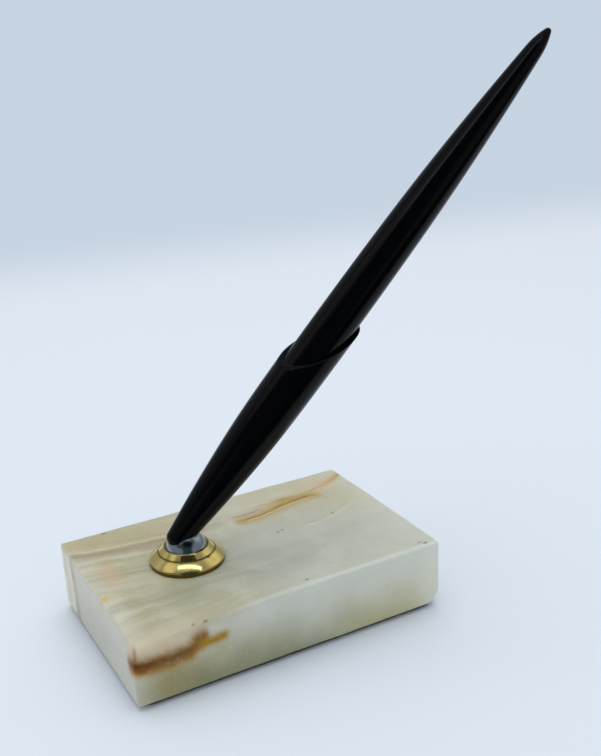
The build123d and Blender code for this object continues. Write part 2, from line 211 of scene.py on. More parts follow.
class HolderSettings(bpy.types.PropertyGroup):
    """The trumpet-shaped holder."""

    offset: length("Offset", "Distance of the holder's axis from the ball's centre", 4.8)
    wall: length("Wall", "Wall round the bore", 1.15)
    seat_gap: length("Seat gap", "Gap between the hollowed nose and the ball", 0.03)
    scoop: place("Scoop", "Short side, middle and long side of the mouth", 60.8, 73.2, 86.75)
    scoop_turn: angle("Scoop turn", "Turn of the mouth about the holder's axis", 13.2)
    ledge: length("Ledge", "Place of the ledge that the pen stands on", 24.0)
    well_radius: length("Well", "Radius of the well for the pen's point", 3.5)
    well_depth: length("Well depth", "Depth of the well for the pen's point", 8.5)
    stud_lean: angle("Stud lean", "Lean of the stud between ball and holder", 19.0)
    stud_radius: length("Stud", "Radius of the hole for the stud", 2.03)
    stud_reach: length("Stud reach", "End of the stud's hole, from the ball's centre", 13.5)
    black: colour("Black", "Black plastic of holder and pen", (0.0008, 0.0009, 0.0011))


class PenSettings(bpy.types.PropertyGroup):
    """The tapered ball pen."""

    front: length("Front", "Place of the section's front end along the axis", 24.2)
    joint: length("Joint", "Place of the joint between section and barrel", 52.0)
    tip_radius: length("Tail tip", "Radius of the tail's blunt tip", 1.0)
    tip_at: length("Tail tip place", "Place where the tail's blunt tip starts", 196.9)
    end_at: length("Tail end", "Place of the tail's end", 197.5)
    thread_radius: length("Thread", "Radius of the section's thread", 4.4)
    thread_length: length("Thread length", "Length of the section's thread", 10.0)
    bore_radius: length("Bore", "Radius of the barrel's bore", 3.0)
    bore_length: length("Bore length", "Length of the barrel's bore", 96.0)


class StageSettings(bpy.types.PropertyGroup):
    """Camera, floor and light."""

    camera: place("Camera", "Place of the camera", -118.85, -261.04, 177.05)
    azimuth: angle("Azimuth", "Camera's place round the object", -28.26)
    elevation: angle("Elevation", "Camera's height angle", 19.51)
    roll: angle("Roll", "Camera's turn about its own axis", -2.5837)
    focal: bpy.props.FloatProperty(
        name="Focal length", description="Focal length in pixels of the photograph", default=1032.54
    )
    floor: colour("Floor", "Floor near the object", (0.775, 0.847, 0.93))
    distance: colour("Distance", "Floor and surroundings far from the object", (0.57, 0.655, 0.76))


def group(kind, name, description):
    """A group of settings inside another."""
    return bpy.props.PointerProperty(type=kind, name=name, description=description)


class PenStandSettings(bpy.types.PropertyGroup):
    """All of the stand's settings."""

    stone: group(StoneSettings, "Stone", "Block and felt")
    socket: group(SocketSettings, "Socket", "Flange, ring and ball")
    holder: group(HolderSettings, "Holder", "Trumpet-shaped holder")
    pen: group(PenSettings, "Pen", "Tapered pen")
    stage: group(StageSettings, "Stage", "Camera, floor and light")


class Wire:
    """An output socket that takes part in sums: each operator adds a Math node to its tree."""

    def __init__(self, tree, socket=None):
        self.tree = tree
        self.socket = socket

    def node(self, kind, settings=None, inputs=None, out=0):
        """Add a node: its type, its settings, then its sockets' values or links. Gives one or more outputs."""
        made = self.tree.nodes.new(kind)
        for key, value in (settings or {}).items():
            setattr(made, key, value)
        for key, value in (inputs or {}).items():
            if isinstance(value, Wire):
                self.tree.links.new(value.socket, made.inputs[key])
            else:
                made.inputs[key].default_value = value
        if isinstance(out, tuple):
            return [Wire(self.tree, made.outputs[each]) for each in out]
        return Wire(self.tree, made.outputs[out])

    def math(self, operation, first, second):
        """Add a Math node on two values."""
        return self.node("ShaderNodeMath", {"operation": operation}, {0: first, 1: second})

    def __add__(self, other):
        return self.math("ADD", self, other)

    __radd__ = __add__

    def __sub__(self, other):
        return self.math("SUBTRACT", self, other)

    def __rsub__(self, other):
        return self.math("SUBTRACT", other, self)

    def __mul__(self, other):
        return self.math("MULTIPLY", self, other)

    __rmul__ = __mul__

    def __pow__(self, other):
        return self.math("POWER", self, other)

    def __rpow__(self, other):
        return self.math("POWER", other, self)


def solid(shade):
    """A colour's wire as it is, or a colour of three numbers as four."""
    return shade if isinstance(shade, Wire) else (*shade, 1.0)


def mix(factor, first, second):
    """Colour between two colours."""
    ends = {0: factor, 6: solid(first), 7: solid(second)}
    return factor.node("ShaderNodeMix", {"data_type": "RGBA"}, ends, out=2)


def painted(tone, *layers):
    """Colours laid over a tone in turn: each layer is how far it covers, then its colour."""
    for cover, shade in layers:
        tone = mix(cover, tone, shade)
    return tone


def step(value, low, high):
    """0 below low, 1 above high, and a smooth S between them."""
    ends = {"Value": value, "From Min": low, "From Max": high}
    return value.node("ShaderNodeMapRange", {"interpolation_type": "SMOOTHSTEP"}, ends)


def falls(value, low, high):
    """1 below low, 0 above high, and a smooth S between them."""
    return 1 - step(value, low, high)


def bell(value, width):
    """1 where value is 0, falling away on both sides: e to the power of minus the square of value by width."""
    return exp(-1.0 / width**2) ** (value * value)


def joined(x, y, z):
    """Vector of three values."""
    start = next(value for value in (x, y, z) if isinstance(value, Wire))
    return start.node("ShaderNodeCombineXYZ", None, {0: x, 1: y, 2: z})


def noise(vector, scale, detail=2.0, roughness=0.5):
    """Cloudy noise from 0 to 1."""
    return vector.node(
        "ShaderNodeTexNoise",
        {"noise_dimensions": "3D"},
        {"Vector": vector, "Scale": scale, "Detail": detail, "Roughness": roughness},
    )


def along(vector, direction):
    """How far a point lies along a direction."""
    ends = {0: vector, 1: direction}
    return vector.node("ShaderNodeVectorMath", {"operation": "DOT_PRODUCT"}, ends, out="Value")


def seen_from(centre, points):
    """Points in millimetres, counted from a centre that is given in metres."""
    ends = {0: points, 1: np.multiply(centre, PER_METRE)}
    return points.node("ShaderNodeVectorMath", {"operation": "SUBTRACT"}, ends)


def finish(name, constants):
    """New material whose shader has the given constants, and the object's own points in millimetres."""
    material = bpy.data.materials.new(name)
    material.use_nodes = True
    shader = material.node_tree.nodes["Principled BSDF"]
    for key, value in constants.items():
        shader.inputs[key].default_value = value
    metres = Wire(material.node_tree).node("ShaderNodeTexCoord", out="Object")
    points = metres.node("ShaderNodeVectorMath", {"operation": "SCALE"}, {0: metres, "Scale": PER_METRE})
    return material, points


def feed(material, **wires):
    """Link varying values to the shader: base_color, roughness and height, which goes through a bump."""
    tree = material.node_tree
    shader = tree.nodes["Principled BSDF"]
    for key, wire in wires.items():
        if key == "height":
            wire = wire.node("ShaderNodeBump", None, {"Strength": 1.0, "Distance": MM, "Height": wire})
            key = "normal"
        tree.links.new(wire.socket, shader.inputs[key.replace("_", " ").title()])
    return material


def path(x, *knots):
    """Height at x of the polynomial through a few knots of (x, height)."""
    places, heights = np.array(knots).T
    factors = np.polyfit(places, heights, len(knots) - 1).tolist()
    height = x * factors[0] + factors[1]
    for factor in factors[2:]:
        height = height * x + factor
    return height


def between(value, start, end, soft):
    """1 from start to end, fading away over soft at both."""
    return step(value, start - soft, start + soft) * falls(value, end - soft, end + soft)


def patch(across, half_across, down, half_down):
    """A soft oval spot: the product of two bells."""
    return bell(across, half_across) * bell(down, half_down)


# Pits in the stone's top, in millimetres: place along x and y, half length along x and y
PITS = (
    (45.8, -30.7, 0.8, 0.42),
    (44.5, -29.5, 0.7, 0.25),
    (4.6, -29.6, 0.5, 0.35),
    (11.2, 0.7, 0.5, 0.3),
    (13.0, 1.1, 0.5, 0.3),
    (32.4, 2.3, 0.45, 0.3),
    (-36.0, 31.0, 0.9, 0.3),
    (-31.5, -29.8, 0.5, 0.3),
    (-28.0, -30.4, 0.6, 0.3),
)


class Tint:
    """Colours of the stone's bed, veins, spots and stain, named for what they look like, and of its painted
    light and shade.
    """

    sand = (0.56, 0.52, 0.37)
    chalk = (0.74, 0.76, 0.66)
    fog = (0.66, 0.66, 0.56)
    straw = (0.70, 0.65, 0.50)
    moss = (0.47, 0.47, 0.28)
    painted_front_light = (0.69, 0.69, 0.55)
    painted_front_glow = (0.70, 0.73, 0.67)
    painted_low_front_shade = (0.27, 0.275, 0.155)
    painted_low_front_shade_khaki = (0.47, 0.44, 0.215)
    painted_front_highlight = (0.84, 0.84, 0.74)
    painted_left_light = (0.55, 0.535, 0.485)
    painted_left_light_upper = (0.72, 0.69, 0.56)
    painted_left_light_back = (0.92, 0.93, 0.86)
    hay = (0.47, 0.41, 0.23)
    bark = (0.33, 0.285, 0.17)
    wheat = (0.69, 0.62, 0.42)
    honey = (0.52, 0.395, 0.15)
    tan = (0.62, 0.49, 0.30)
    amber = (0.54, 0.37, 0.13)
    parchment = (0.70, 0.62, 0.46)
    apricot = (0.66, 0.45, 0.28)
    umber = (0.36, 0.24, 0.075)
    mauve = (0.52, 0.42, 0.40)
    shell = (0.72, 0.66, 0.60)
    caramel = (0.54, 0.40, 0.24)
    mustard = (0.46, 0.345, 0.095)
    flax = (0.68, 0.58, 0.34)
    coffee = (0.22, 0.13, 0.03)
    ivory = (0.72, 0.69, 0.51)
    slate = (0.25, 0.27, 0.22)
    mist = (0.78, 0.82, 0.76)
    sky = (0.62, 0.73, 0.82)
    lichen = (0.56, 0.51, 0.28)
    clay = (0.60, 0.44, 0.27)
    gold = (0.56, 0.45, 0.13)
    buff = (0.74, 0.64, 0.48)
    copper = (0.46, 0.27, 0.07)
    orange = (0.40, 0.17, 0.004)
    soot = (0.07, 0.025, 0.004)
    chestnut = (0.24, 0.105, 0.012)
    ginger = (0.42, 0.25, 0.04)
    bronze = (0.35, 0.21, 0.004)
    fern = (0.42, 0.42, 0.12)
    drab = (0.33, 0.28, 0.11)
    mud = (0.26, 0.25, 0.14)
    shadow = (0.06, 0.06, 0.045)
    bloom = (0.80, 0.80, 0.70)
    painted_edge_highlight = (0.82, 0.81, 0.72)


def bed_tone(stone, x, y, z, level, depth, front, puff):
    """The bed: pale right, cream left, streaked along its layers; painted light on front and left faces,
    painted shade low in front.
    """
    fine = noise(joined(x * 0.018, level * 0.75, z * 0.02), 1, 5, 0.62)
    broad = noise(joined(x * 0.02, level * 0.14, z * 0.03 + 7), 1, 2)
    leftward = falls(x, -34, 14)
    left_rim = falls(x, -50, -41) * (0.46 - step(y, -16, -6) * 0.16)
    side = falls(x, -50, -48.6) * step(depth, 0.4, 2)
    rear = step(y, 17, 26)
    streaked = step(y, -32.2, -26) * (leftward * 0.7 + 0.05) * (1 - side * 0.6)
    mossy = step(y, 22, 30) * (1 - step(x, 18, 42) * 0.85)
    low = front * falls(z + (puff - 0.5) * 8, -1, 16)
    return painted(
        mix(leftward, stone.pale, stone.cream),
        (step(y, 2, 22) * step(x, -6, 30) * 0.7, Tint.sand),
        (patch(x + 5, 20, y + 17, 12) * 0.62 + step(broad, 0.46, 0.7) * 0.16, stone.grey),
        (step(x, 36, 50) * 0.32 + left_rim, Tint.chalk),
        (step(puff, 0.42, 0.72) * 0.4, Tint.fog),
        (step(fine, 0.5, 0.72) * streaked * 0.6, Tint.straw),
        (falls(fine, 0.28, 0.5) * streaked * 0.6, stone.olive),
        (mossy * step(puff, 0.36, 0.62) * 0.45, Tint.moss),
        # Painted light: the front face lighter, and lighter again towards its top
        (front * step(x, -10, 44) * (puff * 0.6 + 0.45), Tint.painted_front_light),
        (front * step(z, 5, 20) * (puff * 0.5 + 0.35), Tint.painted_front_glow),
        # Painted shade: the front darker and more olive low down
        (low * bell(x + 8, 34) * 0.9, Tint.painted_low_front_shade),
        (low * step(x, 4, 26) * falls(x, 36, 48) * 0.75, Tint.painted_low_front_shade_khaki),
        # Painted highlight: the front's right end lighter
        (front * step(x, 39, 47) * 0.35, Tint.painted_front_highlight),
        # Painted light: the left face greyer and lighter, lightest towards its back
        (side * (1 - rear) * 0.6, Tint.painted_left_light),
        (side * step(z, 9, 20) * 0.35, Tint.painted_left_light_upper),
        (side * rear * 0.95, Tint.painted_left_light_back),
    )


def vein_tone(tone, stone, x, y, z, level, depth, waver, puff, ripple):
    """Veins: a rear one, one above the main one on the right, the main one, and a faint one in front of it."""
    grain = step(noise(joined(x * 0.09, level * 1.5, z * 0.2), 1, 4, 0.65), 0.32, 0.64)
    rear_line = path(x, (-45, 22.3), (-22.5, 18.4), (14, 20.3), (49, 27.2))
    rear_line = y + depth * 0.1 + waver - rear_line
    upper_line = path(x, (14, 20.8), (26, 20.2), (38.5, 21.9), (49, 27))
    upper_line = y + waver * 0.7 - upper_line
    main_line = path(x, (3.3, 13.6), (10, 14.1), (21, 16.3), (35, 16.9))
    main_line = y + depth * 0.14 + waver * 0.7 - main_line
    right_line = path(x, (19.2, 0.2), (27, -0.4), (35, 2.2), (42.5, 6.5))
    right_line = y + waver * 0.6 - right_line
    left_part = falls(x, -12, 6)
    right_part = step(x, 10, 26)
    main_part = between(x, 3, 35.5, 2)
    core = bell(main_line, 0.42) * between(x, 6, 33, 2)
    core = core + bell(main_line - 1, 0.3) * between(x, 18, 33, 3) * 0.6
    return painted(
        tone,
        (bell(rear_line - 5, 4.5) * left_part * (grain * 0.4 + 0.35), Tint.hay),
        (bell(rear_line + 2.3, 2.3) * left_part * (grain * 0.45 + 0.5), Tint.bark),
        (bell(rear_line, 0.8) * left_part * (puff * 0.9 + 0.05), Tint.wheat),
        (patch(x - 25, 13, y - 18.9, 2.6) * (puff * 0.5 + 0.45), Tint.honey),
        (patch(x - 38, 9, y - 24.8, 2.8) * (ripple * 0.5 + 0.25), Tint.tan),
        (bell(upper_line, 1.9) * step(x, 34, 46) * (puff * 0.4 + 0.5), Tint.amber),
        (bell(upper_line, 0.8) * right_part * (grain * 0.6 + 0.2), stone.ochre),
        (bell(upper_line - 0.9, 0.5) * between(x, 10, 38, 5) * (grain * 0.5 + 0.2), Tint.parchment),
        (patch(x - 39.5, 5, upper_line - 0.4, 1.4) * (ripple * 0.8 + 0.2), Tint.apricot),
        (patch(x - 23.5, 3.6, y - 20 + waver * 0.5, 1.5) * (grain * 0.4 + 0.5), Tint.umber),
        (bell(rear_line + 1.6, 1.2) * between(x, 1, 13, 3) * (ripple * 0.9 + 0.2), Tint.mauve),
        (bell(rear_line + 1.9, 0.35) * between(x, 4, 13, 2) * (grain * 0.6 + 0.2), stone.rust),
        (patch(x - 1.5, 2, y - 14, 3.5) * 0.35, Tint.shell),
        (bell(main_line + 2.3, 1.8) * between(x, 5, 24, 4) * (puff * 0.6 + 0.2), Tint.caramel),
        (bell(main_line, 2.6) * main_part * (puff * 0.3 + 0.8), Tint.mustard),
        (bell(main_line + 0.2, 1.3) * main_part * (grain * 0.6 + 0.2), stone.ochre),
        (bell(main_line + 1, 0.4) * between(x, 6, 33, 3) * (grain * 0.4 + 0.5), Tint.flax),
        (core * (grain * 0.5 + 0.35), Tint.coffee),
        (bell(right_line, 0.7) * between(x, 20, 42, 3) * (grain * 0.4 + 0.25), Tint.ivory),
        (bell(right_line - 1.2, 0.7) * between(x, 20, 40, 3) * grain * 0.3, stone.olive),
    )


def spot_tone(tone, x, y, crown, waver, puff, ripple):
    """Broad clouds and small spots that lie on the top only."""
    return painted(
        tone,
        (patch(x + 28, 9, y + 17, 7) * crown * (puff * 0.3 + 0.27), Tint.slate),
        (patch(x - 2, 12, y - 1, 10) * crown * 0.16, Tint.mist),
        (crown * step(x, -24, 6) * falls(y, -4, 8) * 0.1, Tint.sky),
        (patch(x - 39, 8, y - 10, 6) * crown * (puff * 0.4 + 0.15), Tint.lichen),
        (patch(x + 43, 3, y - 5 + waver, 8) * crown * (ripple * 0.8 + 0.2), Tint.clay),
        (patch(x + 49, 1.8, y + 7.4, 1.6) * crown * 0.8, Tint.gold),
    )


def stain_tone(tone, stone, x, y, z, front, puff, ripple):
    """A rusty stain round the front left corner, its tail along the front and the dark ground below it."""
    line = z + (puff - 0.5) * 2.6 + (ripple - 0.5) * 2.2
    line = line - path(x, (-50, 13.2), (-41, 12.9), (-34, 13.9), (-28.6, 16.4))
    reach = falls(x, -29.8, -27.2) * falls(y, -29.5, -25)
    above = falls(x, -40, -24) * falls(y, -29.5, -23)
    tail = z - path(x, (-29, 14.5), (-22, 15.3)) + (ripple - 0.5) * 2.4
    tail = bell(tail, 1.25) * between(x, -30, -22.2, 1.4)
    runnel = bell(x + 49.2 - (z - 14) * 0.25, 0.5) * between(z, 13.5, 17.5, 1)
    runnel = runnel * falls(y, -27, -23)
    return painted(
        tone,
        (bell(line - 4.4, 3.2) * above * 0.6, Tint.buff),
        (bell(line - 0.2, 3) * reach * (puff * 0.5 + 0.3), Tint.copper),
        (bell(line + 0.9, 2) * reach * (ripple * 0.6 + 0.7), Tint.orange),
        (bell(line, 1.8) * reach * step(ripple, 0, 0.36), stone.rust),
        (bell(line - 0.5, 0.7) * reach * step(ripple, 0.4, 0.6) * 0.35, Tint.soot),
        (patch(x + 30.8, 2.6, z - 16.7, 2.2) * front * step(ripple, 0.1, 0.4), Tint.chestnut),
        (patch(x + 28, 4.5, z - 14.4, 1.9) * front * (ripple * 0.5 + 0.45), Tint.ginger),
        (tail * front, Tint.bronze),
        (patch(x + 24, 2, z - 11, 2.2) * front * 0.35, Tint.fern),
        (runnel * ripple * 0.9, stone.rust),
        (patch(x + 39, 9, z - 6, 6) * front * (puff * 0.8 + 0.45), Tint.drab),
        (patch(x + 30, 11, z - 2.5, 5) * front * (puff * 0.5 + 0.42), Tint.mud),
    )


def stone_finish(stone):
    """Polished banded stone, its colours laid one over another from the bed to the pits, then a painted
    highlight on its edges.

    Its layers are bowls: a layer's level is y less 0.003 times x squared, warped by noise. Fine streaks are
    noise on that level. Veins are bells about polynomial paths over x, wavering with noise and cut to stretches
    of x. Pits are small bells on the top.
    """
    constants = {
        "Subsurface Weight": 0.025,
        "Subsurface Radius": (1, 0.9, 0.65),
        "Subsurface Scale": 2 * MM,
        "IOR": 1.5,
        "Specular IOR Level": 0.19,
    }
    material, points = finish("polished_stone", constants)
    x, y, z = points.node("ShaderNodeSeparateXYZ", None, {0: points}, out=(0, 1, 2))
    puff = noise(points, 0.09, 3)
    ripple = noise(points, 0.24, 3)
    mottle = noise(points, 1.1, 3, 0.6)
    waver = (noise(points, 0.07, 2) - 0.5) * 2 + (ripple - 0.5) * 1.2
    depth = STONE_TOP * PER_METRE - z
    bowl = y - x * x * step(y, -26, 6) * 0.003 + depth * 0.1
    level = bowl + (noise(points, 0.03, 3) - 0.5) * 6 + (ripple - 0.5)
    front = falls(y, -32.2, -30)
    crown = step(z, 18, 21)
    # Painted highlight: a pale line along the top's front and left edges, where the rounded edge catches the
    # light
    crest = step(z, 20.9, 21.9)
    front_edge_highlight = crest * falls(y, -32.25, -31.7) * step(x, -24, -12)
    side_edge_highlight = crest * falls(x, -50, -49.4)
    pits = sum(patch(x - pit_x, long, y - pit_y, wide) for pit_x, pit_y, long, wide in PITS) * crown

    tone = bed_tone(stone, x, y, z, level, depth, front, puff)
    tone = vein_tone(tone, stone, x, y, z, level, depth, waver, puff, ripple)
    tone = spot_tone(tone, x, y, crown, waver, puff, ripple)
    tone = stain_tone(tone, stone, x, y, z, front, puff, ripple)
    tone = painted(
        tone,
        (pits * 0.85, Tint.shadow),
        (step(mottle, 0.52, 0.74) * 0.1, Tint.bloom),
        ((front_edge_highlight * 0.6 + side_edge_highlight * 0.5) * (ripple * 0.8 + 0.2), Tint.painted_edge_highlight),
    )
    rough = noise(points, 0.8, 3) * 0.1 + 0.24 + pits * 0.4
    height = pits * -0.12 + mottle * 0.004 + noise(points, 0.25, 2) * 0.015
    return feed(material, base_color=tone, roughness=rough, height=height)


def felt_finish(stone):
    """Pressed felt: matted fibres are fine noise in the colour and the height."""
    material, points = finish("pressed_felt", {"Sheen Weight": 0.25, "Sheen Roughness": 0.6})
    fibre = noise(points, 3.2, 4, 0.7)
    tuft = noise(points, 0.7, 2)
    shade = mix(fibre * 0.7 + tuft * 0.2, np.multiply(stone.felt, 0.5), np.multiply(stone.felt, 1.7))
    height = fibre * 0.35 + tuft * 0.15
    return feed(material, base_color=shade, roughness=fibre * 0.1 + 0.88, height=height)


def brass_finish(name, socket, centre, axis):
    """Polished, turned brass: fine lines are noise on the distance from the axis, tarnish is broad noise, and
    the flange's rim is painted shade.
    """
    material, points = finish(name, {"Metallic": 1})
    offset = seen_from(centre, points)
    level = along(offset, axis)
    reach = offset.node("ShaderNodeVectorMath", {"operation": "LENGTH"}, {0: offset}, out="Value")
    radius = (reach * reach - level * level + 0.0001) ** 0.5
    lines = noise(joined(radius * 5, level * 5, 0), 1, 3, 0.7)
    cloud = noise(points, 0.32, 3)
    spots = step(noise(points, 1.9, 3, 0.65), 0.6, 0.72)
    # Painted shade: the flange's rim is painted dark, standing in for the shaded stone that it mirrors
    foot = falls(level, -2.5, -2.1)
    groove = bell(level - 0.12, 0.2)
    worn = step(cloud, 0.42, 0.75) * 0.2 + spots * 0.1 + foot * 0.95 + groove * 0.8
    shade = mix(worn, socket.brass, socket.tarnish_and_rim_shade)
    rough = lines * 0.04 + cloud * 0.06 + foot * 0.12 + 0.04
    return feed(material, base_color=shade, roughness=rough, height=lines * 0.003 + cloud * 0.02)


def plating_finish(socket):
    """Bright plating with faint smears, and a painted dark reflection in front of the holder's nose that dims
    the lamp's glint there.
    """
    material, points = finish("mirror_plating", {"Metallic": 1})
    smear = noise(points, 0.45, 3, 0.6)
    lines = noise(points, 4, 2)
    # Painted reflection: a dark patch on the ball just in front of the holder's nose, standing in for the
    # holder darkening what the ball mirrors
    painted_nose_reflection = step(along(seen_from(BALL_CENTRE, points), (-0.15, -0.69, 0.71)), 6.1, 6.42)
    shade = painted(
        mix(step(smear, 0.45, 0.75) * 0.35, socket.plating, np.multiply(socket.plating, 0.72)),
        (painted_nose_reflection * 0.88, (0.03, 0.04, 0.04)),
    )
    rough = smear * 0.1 + lines * 0.03 + 0.11
    return feed(material, base_color=shade, roughness=rough, height=lines * 0.002)


def plastic_finish(holder):
    """Black moulded plastic: faint lines are noise drawn out along the pen, smears are broad noise."""
    material, points = finish("glossy_black", {"IOR": 1.49, "Specular IOR Level": 0.115})
    level = along(points, PEN_AXIS)
    above = along(points, PEN_ABOVE)
    across = along(points, SIDE)
    lines = noise(joined(level * 0.03, above * 2.4, across * 2.4), 1, 3, 0.6)
    smear = noise(points, 0.11, 3, 0.6)
    dust = step(noise(points, 2.6, 2), 0.7, 0.78)
    shade = mix(smear * 0.5 + dust * 0.25, holder.black, np.multiply(holder.black, 2))
    rough = smear * 0.08 + lines * 0.05 + dust * 0.1 + 0.07
    return feed(material, base_color=shade, roughness=rough, height=lines * 0.0006 + smear * 0.01)


def plain_finish(name, shade, metallic, rough, grain):
    """A plain inner finish: cloudy colour, fine grain in roughness and height."""
    material, points = finish(name, {"Metallic": metallic})
    cloud = noise(points, 0.5, 3)
    fine = noise(points, grain, 3, 0.65)
    tone = mix(cloud * 0.6 + fine * 0.2, np.multiply(shade, 1.15), np.multiply(shade, 0.65))
    rough = fine * 0.16 + cloud * 0.1 + rough
    return feed(material, base_color=tone, roughness=rough, height=fine * 0.01)


def spline(knots, places):
    """Radius at places along an axis: the cubic spline through knots of (radius, place), of steady curvature.

    Its slopes solve one set of linear equations, and at each end it has the slope of the parabola through three
    knots.
    """
    radii, at = np.array(knots).T
    gaps = np.diff(at)
    rises = np.diff(radii) / gaps
    count = len(at)
    system = np.eye(count)
    target = np.empty(count)
    target[0] = rises[0] - gaps[0] * (rises[1] - rises[0]) / (gaps[0] + gaps[1])
    target[-1] = rises[-1] + gaps[-1] * (rises[-1] - rises[-2]) / (gaps[-1] + gaps[-2])
    inner = np.arange(1, count - 1)
    system[inner, inner - 1] = gaps[1:]
    system[inner, inner] = 2 * (gaps[:-1] + gaps[1:])
    system[inner, inner + 1] = gaps[:-1]
    target[1:-1] = 3 * (gaps[1:] * rises[:-1] + gaps[:-1] * rises[1:])
    slopes = np.linalg.solve(system, target)
    span = np.clip(np.searchsorted(at, places) - 1, 0, count - 2)
    part = (places - at[span]) / gaps[span]
    rest = 1 - part
    return (
        radii[span] * rest * rest * (1 + 2 * part)
        + radii[span + 1] * part * part * (3 - 2 * part)
        + gaps[span] * part * rest * (slopes[span] * rest - slopes[span + 1] * part)
    )


def tangent_arc(start, heading, end, count):
    """Points of the circle that leaves start along heading and passes through end."""
    start, end = np.array(start), np.array(end)
    heading = unit(heading)
    chord = end - start
    turn = np.arctan2(heading[0] * chord[1] - heading[1] * chord[0], heading @ chord)
    radius = np.linalg.norm(chord) / (2 * np.sin(turn))
    swept = np.linspace(0, 2 * turn, count)
    normal = np.array([-heading[1], heading[0]])
    return start + radius * (np.outer(np.sin(swept), heading) + np.outer(1 - np.cos(swept), normal))


def bulged(start, end, bulge, count):
    """Points of a parabola between two points that stands bulge proud of their chord, on the way's left."""
    start, end = np.array(start), np.array(end)
    part = np.linspace(0, 1, count)[:, None]
    chord = end - start
    normal = unit((-chord[1], chord[0]))
    return start + chord * part + normal * (4 * bulge * part * (1 - part))


def eased(path, cut, steps=4):
    """A closed path of (radius, place) with each corner cut back and rounded by a parabola."""
    path = np.array(path)
    before = np.roll(path, 1, axis=0) - path
    after = np.roll(path, -1, axis=0) - path
    reach_before = np.linalg.norm(before, axis=1, keepdims=True)
    reach_after = np.linalg.norm(after, axis=1, keepdims=True)
    cut = np.minimum(cut, np.minimum(reach_before, reach_after) * 0.45)
    first = path + before / reach_before * cut
    last = path + after / reach_after * cut
    part = np.linspace(0, 1, steps)[None, :, None]
    rounds = first[:, None] * (1 - part) ** 2 + path[:, None] * 2 * part * (1 - part)
    return (rounds + last[:, None] * part**2).reshape(-1, 2)


def turned(path, origin, axis, across, around):
    """A path of (radius, place) turned about an axis: origin, plus place along it, plus radius round it."""
    swing = np.linspace(0, 2 * pi, around, endpoint=False)
    third = np.cross(axis, across)
    spoke = np.cos(swing)[:, None] * across + np.sin(swing)[:, None] * third
    radius, level = np.array(path).T
    return origin + spoke[:, None] * radius[None, :, None] + level[None, :, None] * axis


def outline(half_x, half_y, corner, along_x, along_y, round_steps):
    """Rectangle with round corners, walked once: its corner or side centres and its outward directions."""
    centre_x, centre_y = half_x - corner, half_y - corner
    posts = np.array([[1, -1], [1, 1], [-1, 1], [-1, -1]]) * (centre_x, centre_y)
    turns = np.radians([-90.0, 0.0, 90.0, 180.0])
    centres, headings = [], []
    counts = (along_y, along_x, along_y, along_x)
    for post, following, turn, count in zip(posts, np.roll(posts, -1, axis=0), turns, counts):
        part = np.linspace(0, 1, count, endpoint=False)[1:, None]
        centres += [np.repeat(post[None], round_steps, axis=0), post + (following - post) * part]
        headings += [np.linspace(turn, turn + pi / 2, round_steps), np.full(count - 1, turn + pi / 2)]
    headings = np.concatenate(headings)
    return np.concatenate(centres), np.stack([np.cos(headings), np.sin(headings)], axis=1)


def pared(points, corner, reach, soft):
    """Draw back what lies outside a plane near a corner.

    The plane cuts the three edges at the given reaches. A point's height over it is replaced by the smooth
    minimum of that height and nothing, so that the faces roll into the cut over the width soft.
    """
    normal = np.sign(corner - (STONE_LOW + STONE_HIGH) / 2) / reach
    size = np.linalg.norm(normal)
    height = ((points - corner) @ normal + 1) / size
    closeness = np.maximum(soft - np.abs(height), 0) / soft
    kept = np.minimum(height, 0) - closeness**2 * soft / 4
    return points - (height - kept)[..., None] * (normal / size)


def stone_grid(stone):
    """The block as one closed sheet over the way round its outline and the way along its section.

    The section climbs the socket hole, crosses the top on straight lines from the hole to the outline, rolls
    over the edge on a quarter circle, goes down the side, rolls under and comes back to the counterbore and the
    stud hole. The edge's radius swells and shrinks in sine waves along the outline, as if polished by hand.
    """
    half = (STONE_HIGH - STONE_LOW) / 2
    middle = BALL_CENTRE[:2]
    top, bottom = STONE_HIGH[2], STONE_LOW[2]
    centres, heads = outline(half[0], half[1], stone.edge_round, along_x=190, along_y=120, round_steps=7)
    way = np.linspace(0, 2 * pi, len(centres), endpoint=False)
    worn = EDGE_PART + sum(size * np.sin(way * waves + start) for size, waves, start in EDGE_WAVES)
    edge = stone.edge_round * worn
    foot = edge * FOOT_PART
    away = centres + heads * stone.edge_round - middle
    spokes = away / np.linalg.norm(away, axis=1, keepdims=True)

    def ring(radius, level):
        return np.column_stack([middle + spokes * radius, np.full(len(spokes), level)])

    def rim(inset, level):
        flat = centres + heads * (stone.edge_round - inset)[:, None]
        return np.column_stack([flat, np.zeros(len(heads)) + level])

    floor = top - stone.hole_depth
    roof = bottom + stone.bore_depth
    quarter = np.linspace(0, pi / 2, 7)[:, None]
    over = [rim(edge * (1 - np.sin(a)), top - edge * (1 - np.cos(a))) for a in quarter]
    under = [rim(foot * (1 - np.cos(a)), bottom + foot * (1 - np.sin(a))) for a in quarter]
    inner = ring(stone.hole_radius + HOLE_BEVEL, top)
    lower = ring(stone.bore_radius + HOLE_BEVEL, bottom)

    def across(start, end, count):
        return [start + (end - start) * part for part in np.linspace(0, 1, count)[1:-1]]

    rows = [ring(stone.stud_hole, roof), ring(stone.stud_hole, floor), ring(stone.hole_radius, floor)]
    rows += [ring(stone.hole_radius, top - HOLE_BEVEL), inner]
    rows += across(inner, over[0], 46) + over
    rows += across(over[-1], under[0], 20) + under
    rows += across(under[-1], lower, 16)
    rows += [lower, ring(stone.bore_radius, bottom + HOLE_BEVEL), ring(stone.bore_radius, roof)]
    points = np.stack(rows, axis=1)
    worn_corner = np.array([STONE_LOW[0], STONE_LOW[1], top])
    bruised_corner = np.array([STONE_HIGH[0], STONE_LOW[1], bottom])
    points = pared(points, worn_corner, np.array(stone.worn_reach), stone.worn_soft)
    return pared(points, bruised_corner, np.array(stone.bruise_reach), stone.bruise_soft)


